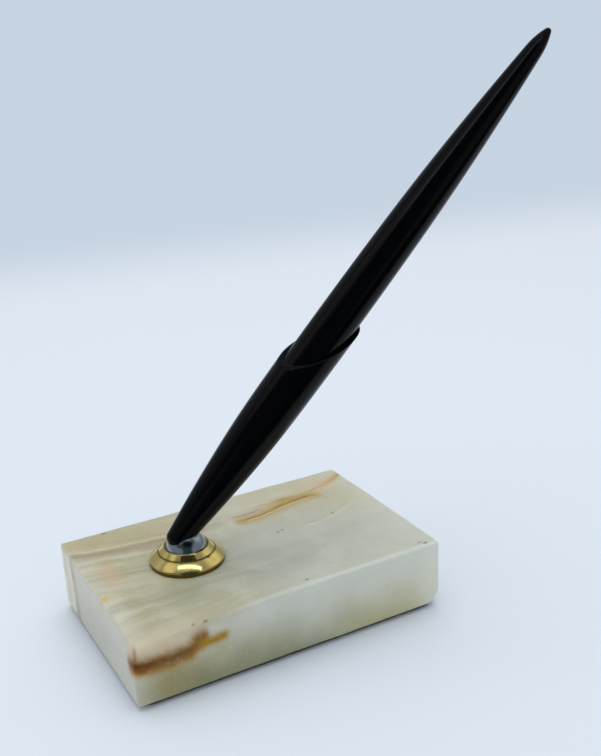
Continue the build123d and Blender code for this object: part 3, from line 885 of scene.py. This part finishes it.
def felt_grid(stone):
    """A flat pad: its outline drawn in to a point below and above, its side half a circle, frayed by waves."""
    half = (FELT_HIGH - FELT_LOW) / 2
    centres, heads = outline(half[0], half[1], stone.felt_corner, along_x=90, along_y=60, round_steps=9)
    thick = float(FELT_HIGH[2] - FELT_LOW[2])
    way = np.arange(len(centres))
    fray = FELT_FRAY * (1 + np.sin(way * 1.7) * np.sin(way * 0.41 + 1.0))
    swing = np.linspace(-pi / 2, pi / 2, 9)
    inset = fray[:, None] + FELT_BULGE * (1 - np.cos(swing))
    level = thick * (1 + np.sin(swing)) / 2
    flat = centres[:, None] + heads[:, None] * (stone.felt_corner - inset)[..., None]
    side = np.concatenate([flat, np.broadcast_to(level, inset.shape)[..., None]], axis=2)
    part = np.linspace(0, 1, 14)[:-1][None, :, None]
    below = side[:, :1] * part * (1, 1, 0)
    above = side[:, -1:] * part[:, ::-1] * (1, 1, 0) + (0, 0, thick)
    return np.concatenate([below, side, above], axis=1)


def flange_path(socket):
    """Closed outline of the flange about the socket's axis: cup, rim, rounded dome, shoulder and chamber."""
    rim = np.array([FLANGE_RADIUS, STONE_TOP + socket.rim_height])
    shoulder = np.array([RING_RADIUS + socket.shoulder_land, STONE_TOP + socket.shoulder_height])
    entry = rim - (0.0, socket.rim_round)
    leave = rim + unit(shoulder - rim) * socket.rim_round
    part = np.linspace(0, 1, 9)[:, None]
    roll = (1 - part) ** 2 * entry + 2 * part * (1 - part) * rim + part**2 * leave
    dome = bulged(leave, shoulder, -socket.dome_bulge, count=26)
    chamber = BALL_RADIUS + CHAMBER_PLAY
    thread = BALL_RADIUS + CUP_THREAD
    thread_floor = RING_LOW[2] - THREAD_RELIEF
    shank = chamber + CUP_WALL
    low = FLANGE_LOW[2]
    inner = [
        (thread, shoulder[1]),
        (thread, thread_floor),
        (chamber, thread_floor),
        (chamber, low + CUP_FLOOR),
        (CUP_STUD, low + CUP_FLOOR),
        (CUP_STUD, low),
        (shank, low),
        (shank, STONE_TOP),
        (FLANGE_RADIUS - RIM_CHAMFER, STONE_TOP),
        (FLANGE_RADIUS, STONE_TOP + RIM_CHAMFER),
    ]
    return np.concatenate([roll, dome[1:], inner])


def ring_path(socket):
    """Closed outline of the retaining ring about the socket's axis: thread, band, slope, crown and lip."""
    top, low = RING_HIGH[2], RING_LOW[2]
    shoulder = STONE_TOP + socket.shoulder_height
    inner = BALL_RADIUS + LIP_PLAY
    thread = inner + RING_THREAD
    crown = RING_RADIUS - socket.band_width
    band = (RING_RADIUS, shoulder + socket.band_edge)
    slope = bulged(band, (crown, top - CROWN_DROP), -socket.band_bulge, count=16)
    lift = np.linspace(socket.lip_height, 0, 8)
    lip = np.column_stack([np.sqrt(inner**2 - lift**2), BALL_CENTRE[2] + lift])
    foot = [
        (inner, low),
        (thread, low),
        (thread, shoulder),
        (RING_RADIUS - BAND_CHAMFER, shoulder),
        (RING_RADIUS, shoulder + BAND_CHAMFER),
    ]
    flat = [(crown - CROWN_ROLL, top), (crown - socket.crown_land, top)]
    return np.concatenate([foot, slope, flat, lip])


# Holder's and pen's outlines: radius and place along the axis, in millimetres
HOLDER_KNOTS = np.array([(3.4, 0.2), (4.38, 8.0), (6.05, 24.0), (7.31, 42.0), (7.76, 60.0), (7.93, 92.0)])
HOLDER_NOSE = -1.75
PEN_KNOTS = np.array(
    [(4.70, 24.2), (5.96, 42.0), (6.41, 60.0), (6.55, 95.0), (5.87, 136.5), (4.05, 172.5), (2.95, 188.5)]
)


def holder_grid(holder):
    """The holder as one closed sheet over the turn about its axis and the way along its section.

    The section comes out of the stud's hole, crosses the hollow seat on the ball, follows the outside from
    where it leaves the ball to the scooped mouth, rolls over the rim and goes down the bore to the ledge and
    the well. The mouth's place is a parabola over the distance towards the scoop's long side.
    """
    knots = HOLDER_KNOTS * MM
    nose = tangent_arc((0.0, HOLDER_NOSE * MM), (1.0, 0.0), knots[0], count=60)
    places = np.linspace(knots[0, 1], knots[-1, 1], 1600)[1:]
    outside = np.concatenate([nose, np.column_stack([spline(knots, places), places])])
    turn = holder.scoop_turn
    long_side = -PEN_ABOVE * cos(turn) + SIDE * sin(turn)
    third = np.cross(PEN_AXIS, long_side)
    swing = np.linspace(0, 2 * pi, 192, endpoint=False)
    spokes = np.cos(swing)[:, None] * long_side + np.sin(swing)[:, None] * third
    foot = BALL_CENTRE + PEN_ABOVE * holder.offset
    sphere = BALL_RADIUS + holder.seat_gap

    tilt = spokes @ PEN_ABOVE
    radius, level = outside.T
    apart = level**2 + radius**2 + holder.offset**2 + 2 * holder.offset * radius * tilt[:, None]
    within = apart < sphere**2
    last = within.shape[1] - 1 - np.argmax(within[:, ::-1], axis=1)
    rows = np.arange(len(swing))
    here, beyond = apart[rows, last], apart[rows, last + 1]
    leave = last + (sphere**2 - here) / (beyond - here)

    short_at, middle_at, long_at = holder.scoop
    reach = knots[-1, 0]
    bend = (short_at + long_at - 2 * middle_at) / (2 * reach**2)
    lean = (long_at - short_at) / (2 * reach)

    def mouth(spread):
        return middle_at + lean * spread + bend * spread**2

    edge = np.full(len(swing), reach)
    for _ in range(4):
        edge = spline(knots, mouth(edge * np.cos(swing)))
    across = np.linspace(0, 1, 9)
    dull = RIM_DROP * np.maximum(1 - np.minimum(across, 1 - across) / RIM_PART, 0) ** 2
    rim_radius = edge[:, None] - holder.wall * across
    rim_level = mouth(rim_radius * np.cos(swing)[:, None]) - dull

    index = np.arange(len(level))
    stop = np.interp(rim_level[:, 0], level[len(nose):], index[len(nose):])
    ease = np.linspace(0, 1, 90)[:-1]
    ease = ease * (0.45 + 0.55 * ease)
    at = leave[:, None] + (stop - leave)[:, None] * ease
    out_radius = np.interp(at, index, radius)
    out_level = np.interp(at, index, level)
    down = np.linspace(0, 1, 60)[1:]
    in_level = rim_level[:, -1:] + (holder.ledge - rim_level[:, -1:]) * down
    in_radius = spline(knots, in_level) - holder.wall
    well_end = holder.ledge - holder.well_depth
    well_radius = np.tile([holder.well_radius, holder.well_radius, 0.0], (len(swing), 1))
    well_level = np.tile([holder.ledge, well_end, well_end], (len(swing), 1))
    all_radius = np.concatenate([out_radius, rim_radius, in_radius, well_radius], axis=1)
    all_level = np.concatenate([out_level, rim_level, in_level, well_level], axis=1)
    body = foot + spokes[:, None] * all_radius[..., None] + all_level[..., None] * PEN_AXIS

    stud = np.array([sin(holder.stud_lean), 0.0, cos(holder.stud_lean)])
    first = unit(long_side - (long_side @ stud) * stud)
    ring = np.cos(swing)[:, None] * first + np.sin(swing)[:, None] * np.cross(stud, first)
    ring = ring * holder.stud_radius
    hole_mouth = ring + stud * np.sqrt(sphere**2 - holder.stud_radius**2)
    hole_end = ring + stud * holder.stud_reach
    border = body[:, 0] - BALL_CENTRE
    part = np.linspace(0, 1, 9)[None, 1:-1, None]
    seat = hole_mouth[:, None] * (1 - part) + border[:, None] * part
    seat = seat / np.linalg.norm(seat, axis=2, keepdims=True) * sphere
    centre = np.broadcast_to(stud * holder.stud_reach, ring.shape)
    nest = np.concatenate([np.stack([centre, hole_end, hole_mouth], axis=1), seat], axis=1)
    return np.concatenate([nest + BALL_CENTRE, body], axis=1)


def pen_taper(start, end, count):
    """Points of (radius, place) along the pen's taper between two places."""
    places = np.linspace(start, end, count)
    return np.column_stack([spline(PEN_KNOTS * MM, places), places])


def barrel_path(pen):
    """Open outline of the barrel from its bore's end, round its mouth and up its taper to the tail's end."""
    relief, play = 0.3 * MM, 0.04 * MM
    thread_end = pen.joint + pen.thread_length + relief
    thread = pen.thread_radius + play
    bore_end = pen.joint + pen.thread_length + pen.bore_length
    inside = [
        (0.0, bore_end),
        (pen.bore_radius, bore_end),
        (pen.bore_radius, thread_end),
        (thread, thread_end),
    ]
    taper = pen_taper(pen.joint + JOINT_CHAMFER, PEN_KNOTS[-1, 1] * MM, count=150)
    face = [(thread, pen.joint), (taper[0, 0] - JOINT_CHAMFER, pen.joint)]
    bullet = tangent_arc(taper[-1], taper[-1] - taper[-2], (pen.tip_radius, pen.tip_at), count=16)
    blunt = tangent_arc((0.0, pen.end_at), (1.0, 0.0), bullet[-1], count=9)[::-1]
    return np.concatenate([inside, face, taper, bullet[1:], blunt[1:]])


def section_path(pen):
    """Closed outline of the grip section: taper, thread into the barrel, bore and the cone's thread."""
    nose_chamfer, thread_chamfer = 0.15 * MM, 0.4 * MM
    bore, cone = 2.0 * MM, 2.64 * MM
    cone_end = pen.front + 6.3 * MM
    back = pen.joint + pen.thread_length
    taper = pen_taper(pen.front + nose_chamfer, pen.joint - JOINT_CHAMFER, count=60)
    front = [(cone, pen.front), (taper[0, 0] - nose_chamfer, pen.front)]
    rear = [
        (taper[-1, 0] - JOINT_CHAMFER, pen.joint),
        (pen.thread_radius, pen.joint),
        (pen.thread_radius, back - thread_chamfer),
        (pen.thread_radius - thread_chamfer, back),
        (bore, back),
        (bore, cone_end),
        (cone, cone_end),
    ]
    return np.concatenate([front, taper, rear])


def cone_path(pen):
    """Closed outline of the nose cone: hole, rounded tip, cone, thread and bore."""
    hole, tip, base, thread, bore = np.array([1.05, 1.5, 3.1, 2.6, 1.65]) * MM
    tip_at = pen.front - 5.2 * MM
    stop_at = pen.front - 2.0 * MM
    back_at = pen.front + 6.0 * MM
    bends = [
        (hole, tip_at),
        (tip, tip_at),
        (base, pen.front),
        (thread, pen.front),
        (thread, back_at),
        (bore, back_at),
        (bore, stop_at),
        (hole, stop_at),
    ]
    return eased(bends, cut=0.12 * MM)


def tip_path(pen):
    """Open outline of the brass tip: cup for the writing ball, point, nose, collar and shank."""
    ball, mouth, point, nose, collar, shank = np.array([0.52, 0.46, 0.62, 1.0, 1.6, 1.13]) * MM
    point_at = pen.front - 7.4 * MM
    ball_at = point_at + 0.25 * MM
    collar_at = pen.front - 1.95 * MM
    nose_at = collar_at - 3.4 * MM
    shank_at = collar_at + 2.0 * MM
    end_at = collar_at + 7.0 * MM
    cup = np.linspace(0, 1, 6) * radians(60)
    hollow = np.column_stack([np.sin(cup) * ball, ball_at + np.cos(cup) * ball])
    rest = [
        (mouth, point_at),
        (point, point_at),
        (nose, nose_at),
        (nose, collar_at),
        (collar, collar_at),
        (collar, shank_at),
        (shank, shank_at),
        (shank, end_at),
        (0.0, end_at),
    ]
    return np.concatenate([hollow, rest])


def ball_path():
    """Half circle of the ball from pole to pole."""
    swing = np.linspace(-pi / 2, pi / 2, 97)
    return np.column_stack([np.cos(swing), np.sin(swing)]) * BALL_RADIUS


def add_piece(name, grid, body, slot, material, *nodes, loop=False):
    """Make an object of a grid of points that is closed round its first parameter, and set it on its body.

    With loop the second parameter is closed too; otherwise its first and last rows are poles. The mesh is
    turned inside out if its volume comes out negative, and it stands for its CAD nodes.
    """
    around, rows = grid.shape[:2]
    index = np.arange(around * rows).reshape(around, rows)
    if not loop:
        index[:, 0] = index[0, 0]
        index[:, -1] = index[0, -1]
    ahead = np.roll(index, -1, axis=0)
    following = np.roll(index, -1, axis=1)
    ahead_following = np.roll(ahead, -1, axis=1)
    quads = np.stack([index, ahead, ahead_following, following], axis=2)
    triangles = np.empty((0, 3), int)
    if not loop:
        triangles = np.concatenate([quads[:, 0][:, [0, 2, 3]], quads[:, -2][:, [0, 1, 2]]])
        quads = quads[:, 1:-2]
    quads = quads.reshape(-1, 4)
    points = grid.reshape(-1, 3)
    halves = np.concatenate([quads[:, [0, 1, 2]], quads[:, [0, 2, 3]], triangles])
    first, second, third = (points[halves[:, corner]] for corner in range(3))
    if np.einsum("ij,ij->", first, np.cross(second, third)) < 0:
        quads, triangles = quads[:, ::-1], triangles[:, ::-1]
    used, packed = np.unique(np.concatenate([quads.ravel(), triangles.ravel()]), return_inverse=True)
    quads = packed[: quads.size].reshape(-1, 4)
    triangles = packed[quads.size :].reshape(-1, 3)
    mesh = bpy.data.meshes.new(name)
    mesh.from_pydata(points[used].tolist(), [], quads.tolist() + triangles.tolist())
    mesh.polygons.foreach_set("use_smooth", np.ones(len(mesh.polygons), bool))
    mesh.set_sharp_from_angle(angle=SHARP_ANGLE)
    mesh.validate()
    mesh.materials.append(material)
    piece = bpy.data.objects.new(name, mesh)
    bpy.context.collection.objects.link(piece)
    if body:
        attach(piece, body)
        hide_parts(*nodes)
    return piece


def coat(material, *nodes):
    """Give carried-over CAD nodes a material."""
    for node in nodes:
        slots = frame["nodes"][node].data.materials
        slots.clear()
        slots.append(material)


class PENSTAND_OT_stone(bpy.types.Operator):
    """Build the polished stone block"""

    bl_idname = "pen_stand.stone"
    bl_label = "Stone block"

    def execute(self, context):
        stone = context.scene.pen_stand.stone
        block, polish = stone_grid(stone), stone_finish(stone)
        add_piece("stone_block", block, "stand", "banded_stone", polish, "stone_base", loop=True)
        return {"FINISHED"}


class PENSTAND_OT_felt(bpy.types.Operator):
    """Build the felt under the block"""

    bl_idname = "pen_stand.felt"
    bl_label = "Felt"

    def execute(self, context):
        stone = context.scene.pen_stand.stone
        felt = add_piece("felt_sheet", felt_grid(stone), "stand", "felt", felt_finish(stone), "felt_pad")
        return {"FINISHED"}


class PENSTAND_OT_socket(bpy.types.Operator):
    """Build the brass flange, the retaining ring and the plated ball"""

    bl_idname = "pen_stand.socket"
    bl_label = "Ball socket"

    def execute(self, context):
        socket = context.scene.pen_stand.socket
        axis_foot = BALL_CENTRE * (1.0, 1.0, 0.0)
        brass = brass_finish("turned_brass", socket, BALL_CENTRE, UP)
        flange = turned(flange_path(socket), axis_foot, UP, AHEAD, around=160)
        add_piece("flange", flange, "stand", "polished_brass", brass, "base_flange", loop=True)
        ring = turned(ring_path(socket), axis_foot, UP, AHEAD, around=160)
        add_piece("ring", ring, "stand", "polished_brass", brass, "retaining_ring", loop=True)
        plating = plating_finish(socket)
        ball = turned(ball_path(), BALL_CENTRE, PEN_AXIS, SIDE, around=128)
        add_piece("ball", ball, "holder", "bright_plating", plating, "swivel_ball")
        return {"FINISHED"}


class PENSTAND_OT_fixings(bpy.types.Operator):
    """Give the studs, washers, nut, spring and seat inside the socket their finishes"""

    bl_idname = "pen_stand.fixings"
    bl_label = "Fixings inside"

    def execute(self, context):
        zinc = plain_finish("zinc_plate", (0.50, 0.52, 0.54), metallic=1.0, rough=0.25, grain=3.0)
        steel = plain_finish("tempered_steel", (0.30, 0.30, 0.32), metallic=1.0, rough=0.22, grain=4.0)
        nylon = plain_finish("seat_nylon", (0.72, 0.70, 0.63), metallic=0.0, rough=0.45, grain=2.0)
        coat(zinc, "mounting_stud", "plain_washer", "lock_washer", "fixing_nut", "holder_stud")
        coat(steel, "disc_spring", "writing_ball")
        coat(nylon, "ball_seat")
        return {"FINISHED"}


class PENSTAND_OT_holder(bpy.types.Operator):
    """Build the trumpet-shaped holder"""

    bl_idname = "pen_stand.holder"
    bl_label = "Pen holder"

    def execute(self, context):
        holder = context.scene.pen_stand.holder
        trumpet, black = holder_grid(holder), plastic_finish(holder)
        add_piece("trumpet", trumpet, "holder", "black_plastic", black, "pen_holder")
        return {"FINISHED"}


class PENSTAND_OT_pen(bpy.types.Operator):
    """Build the pen: barrel, grip section, nose cone and writing tip, and finish its refill"""

    bl_idname = "pen_stand.pen"
    bl_label = "Pen"

    def execute(self, context):
        settings = context.scene.pen_stand
        pen = settings.pen
        foot = BALL_CENTRE + PEN_ABOVE * settings.holder.offset
        black = bpy.data.materials["glossy_black"]
        plating = bpy.data.materials["mirror_plating"]
        brass = brass_finish("tip_brass", settings.socket, foot, PEN_AXIS)
        barrel = turned(barrel_path(pen), foot, PEN_AXIS, SIDE, around=144)
        add_piece("barrel", barrel, "pen", "black_plastic", black, "pen_barrel")
        section = turned(section_path(pen), foot, PEN_AXIS, SIDE, around=144)
        add_piece("section", section, "pen", "black_plastic", black, "grip_section", loop=True)
        cone = turned(cone_path(pen), foot, PEN_AXIS, SIDE, around=96)
        add_piece("cone", cone, "pen", "bright_plating", plating, "nose_cone", loop=True)
        tip = turned(tip_path(pen), foot, PEN_AXIS, SIDE, around=64)
        add_piece("tip", tip, "pen", "polished_brass", brass, "refill_tip")
        tube = plain_finish("tube_plastic", (0.62, 0.65, 0.68), metallic=0.0, rough=0.3, grain=1.5)
        ink = plain_finish("thick_ink", (0.015, 0.02, 0.12), metallic=0.0, rough=0.12, grain=1.0)
        coat(tube, "refill_tube")
        coat(ink, "ink_column")
        return {"FINISHED"}


def floor_grid():
    """A wide level disc: rings of points at growing distances from the origin, closed by a point below."""
    rings = np.geomspace(FLOOR_START, FLOOR_REACH, 28)
    reach = np.concatenate([[0.0], rings, [0.0]])
    level = np.full(len(reach), -FLOOR_DROP)
    level[-1] -= FLOOR_DEPTH
    return turned(np.column_stack([reach, level]), np.zeros(3), UP, SIDE, around=96)


def floor_finish(stage):
    """Pale paper with a faint grain: it glows in the distance's colour far off, and mirrors dark in front."""
    material, points = finish("pale_paper", {"Specular IOR Level": 0.2})
    x, y = points.node("ShaderNodeSeparateXYZ", None, {0: points}, out=(0, 1))
    reach = step((x * x + y * y) ** 0.5, 700, 1200)
    reach = x.math("MAXIMUM", reach, step(along(points, (0.164, 0.986, 0)), 400, 640))
    grain = noise(points, 0.8, 3)
    shade = mix(grain * 0.3, stage.floor, np.multiply(stage.floor, 0.97))
    feed(material, base_color=shade, roughness=grain * 0.1 + 0.7, height=grain * 0.01)
    seen, mirrored = x.node("ShaderNodeLightPath", out=("Is Camera Ray", "Is Glossy Ray"))
    near_front = mirrored * step(along(points, FRONTWARD), 40, 150)
    shine = mix(near_front, stage.distance, (0.02, 0.024, 0.028))
    glow = x.node("ShaderNodeEmission", None, {"Color": shine})
    far = x.math("MAXIMUM", reach * x.math("MAXIMUM", seen, mirrored), near_front)
    tree = material.node_tree
    paper = Wire(tree, tree.nodes["Principled BSDF"].outputs[0])
    both = x.node("ShaderNodeMixShader", None, {0: far, 1: paper, 2: glow})
    tree.links.new(both.socket, tree.nodes["Material Output"].inputs["Surface"])
    return material


def facing(spot, back, turn):
    """Matrix of something that stands at a spot, looks against back and is turned about that line."""
    back = unit(back)
    right = unit(np.cross(UP, back))
    sideways = cos(turn) * right + sin(turn) * np.cross(back, right)
    axes = np.column_stack([sideways, np.cross(back, sideways), back, spot])
    return Matrix([*axes.tolist(), [0.0, 0.0, 0.0, 1.0]])


def add_light(name, spot, aim, turn, size, watts, shade):
    """A soft rectangular lamp at a spot, facing an aim and turned about the way it faces."""
    lamp = bpy.data.lights.new(name, "AREA")
    lamp.shape = "RECTANGLE"
    lamp.size, lamp.size_y = size
    lamp.energy = watts
    lamp.color = shade
    holder = bpy.data.objects.new(name, lamp)
    holder.matrix_world = facing(spot, np.subtract(spot, aim), turn)
    bpy.context.collection.objects.link(holder)
    return holder


def room_panels(way):
    """What bright pieces mirror: walls, dark things in front, and a ceiling with a lit pane.

    Each panel is a product of smooth steps and bells on how far the mirrored way points in some direction.
    """
    rightward, forward, upward = (along(way, direction) for direction in (RIGHTWARD, FRONTWARD, UP))
    right_wall = step(along(way, (0.8, 0.1, 0.59)), 0.82, 0.99) * step(upward, 0.15, 0.62)
    left_wall = step(along(way, (-0.54, 0.17, 0.82)), 0.945, 0.985)
    far_left = step(along(way, (-0.5, 0.74, 0.46)), 0.93, 0.985)
    behind = step(along(way, (0, 0.95, -0.3)), 0.2, 0.7)
    frames = bell(rightward + 0.455, 0.035) * 0.6 + bell(rightward - 0.515, 0.088) * 0.95
    left_front = step(forward, 0.2, 0.36) * falls(rightward, -0.4, -0.25)
    dark_front = between(rightward, -0.38, 0.48, 0.05) * step(forward, 0.36, 0.42)
    teal = mix(step(upward, 0.52, 0.68), (0.03, 0.075, 0.085), (0.03, 0.033, 0.032))
    spot = bell(along(way, (-0.5, -0.56, -0.67)) - 0.08, 0.07)
    spot = bell(along(way, (-0.55, 0.49, 0)), 0.1) * spot
    high = step(upward, 0.8, 0.86)
    ceiling = between(rightward, -0.27, 0.42, 0.04) * between(forward, -0.1, 0.15, 0.03)
    pane = between(rightward, -0.38, 0.4, 0.03) * between(forward, 0.16, 0.28, 0.03)
    bar = bell(rightward + forward * 0.33 + 0.32, 0.03) * between(forward, 0.03, 0.25, 0.03)
    return painted(
        mix(right_wall, (0.32, 0.33, 0.38), (0.76, 0.77, 0.78)),
        (far_left, (0.58, 0.6, 0.64)),
        (left_wall, (0.72, 0.73, 0.75)),
        (step(upward, 0.9, 0.95), (0.62, 0.63, 0.64)),
        (behind, (0.36, 0.385, 0.43)),
        (frames * step(upward, 0.7, 0.8) * 0.95, (0.06, 0.06, 0.05)),
        (left_front * between(upward, 0.46, 0.78, 0.05), (0.07, 0.075, 0.085)),
        (dark_front, teal),
        (spot * dark_front, (0.95, 1, 0.98)),
        (ceiling * high, (0.36, 0.4, 0.46)),
        (pane * high, (0.62, 0.78, 1.3)),
        (bar * high, (1.2, 1.4, 2.2)),
    )


class PENSTAND_OT_stage(bpy.types.Operator):
    """Set the camera, the floor, the surroundings and the lamps"""

    bl_idname = "pen_stand.stage"
    bl_label = "Stage"

    def execute(self, context):
        scene = context.scene
        stage = scene.pen_stand.stage
        eye = bpy.data.cameras.new("camera")
        eye.sensor_width = SENSOR_WIDTH
        eye.lens = stage.focal / max(PHOTO_WIDTH, PHOTO_HEIGHT) * eye.sensor_width
        eye.clip_start = CLIP_START
        camera = bpy.data.objects.new("camera", eye)
        level = cos(stage.elevation)
        back = (sin(stage.azimuth) * level, -cos(stage.azimuth) * level, sin(stage.elevation))
        camera.matrix_world = facing(stage.camera, back, stage.roll)
        context.collection.objects.link(camera)
        scene.camera = camera

        add_piece("floor", floor_grid(), None, None, floor_finish(stage))
        world = bpy.data.worlds.new("room")
        world.use_nodes = True
        scene.world = world
        tree = world.node_tree
        way = Wire(tree).node("ShaderNodeTexCoord", out="Generated")
        seen, mirrored = way.node("ShaderNodeLightPath", out=("Is Camera Ray", "Is Glossy Ray"))
        soft = mix(step(along(way, SIDE), -0.25, 0.75), (0.64, 0.645, 0.66), (0.98, 0.985, 1.0))
        shade = mix(seen, mix(mirrored, soft, room_panels(way)), stage.distance)
        tree.links.new(shade.socket, tree.nodes["Background"].inputs["Color"])

        key = add_light(
            "key",
            spot=(0.10, 0.22, 1.2),
            aim=(0.0, 0.0, 0.03),
            turn=0.0,
            size=(0.9, 0.9),
            watts=3.0,
            shade=(1.0, 0.99, 0.97),
        )
        key.visible_glossy = False
        add_light(
            "window",
            spot=(-0.05, -0.245, 1.0),
            aim=(-0.02, 0.0, 0.03),
            turn=radians(-20),
            size=(0.88, 0.13),
            watts=0.70,
            shade=(0.82, 0.88, 1.0),
        )
        scene.view_settings.view_transform = "Standard"
        return {"FINISHED"}


class PENSTAND_PT_panel(bpy.types.Panel):
    """Lists the stand's pieces and their settings"""

    bl_idname = "PENSTAND_PT_panel"
    bl_label = "Pen stand"
    bl_space_type = "VIEW_3D"
    bl_region_type = "UI"
    bl_category = "Pen stand"

    def draw(self, context):
        settings = context.scene.pen_stand
        for operator in OPERATORS:
            self.layout.operator(operator.bl_idname)
        for group in ("stone", "socket", "holder", "pen", "stage"):
            box = self.layout.box()
            values = getattr(settings, group)
            for key in values.bl_rna.properties.keys()[2:]:
                box.prop(values, key)


OPERATORS = (
    PENSTAND_OT_stone,
    PENSTAND_OT_felt,
    PENSTAND_OT_socket,
    PENSTAND_OT_fixings,
    PENSTAND_OT_holder,
    PENSTAND_OT_pen,
    PENSTAND_OT_stage,
)
CLASSES = (
    StoneSettings,
    SocketSettings,
    HolderSettings,
    PenSettings,
    StageSettings,
    PenStandSettings,
    *OPERATORS,
    PENSTAND_PT_panel,
)


def register():
    for each in CLASSES:
        bpy.utils.register_class(each)
    bpy.types.Scene.pen_stand = bpy.props.PointerProperty(type=PenStandSettings)


def unregister():
    del bpy.types.Scene.pen_stand
    for each in reversed(CLASSES):
        bpy.utils.unregister_class(each)


def main():
    """Register, and build every piece and the stage."""
    register()
    bpy.ops.pen_stand.stone()
    bpy.ops.pen_stand.felt()
    bpy.ops.pen_stand.socket()
    bpy.ops.pen_stand.fixings()
    bpy.ops.pen_stand.holder()
    bpy.ops.pen_stand.pen()
    bpy.ops.pen_stand.stage()


if __name__ == "__main__":
    main()
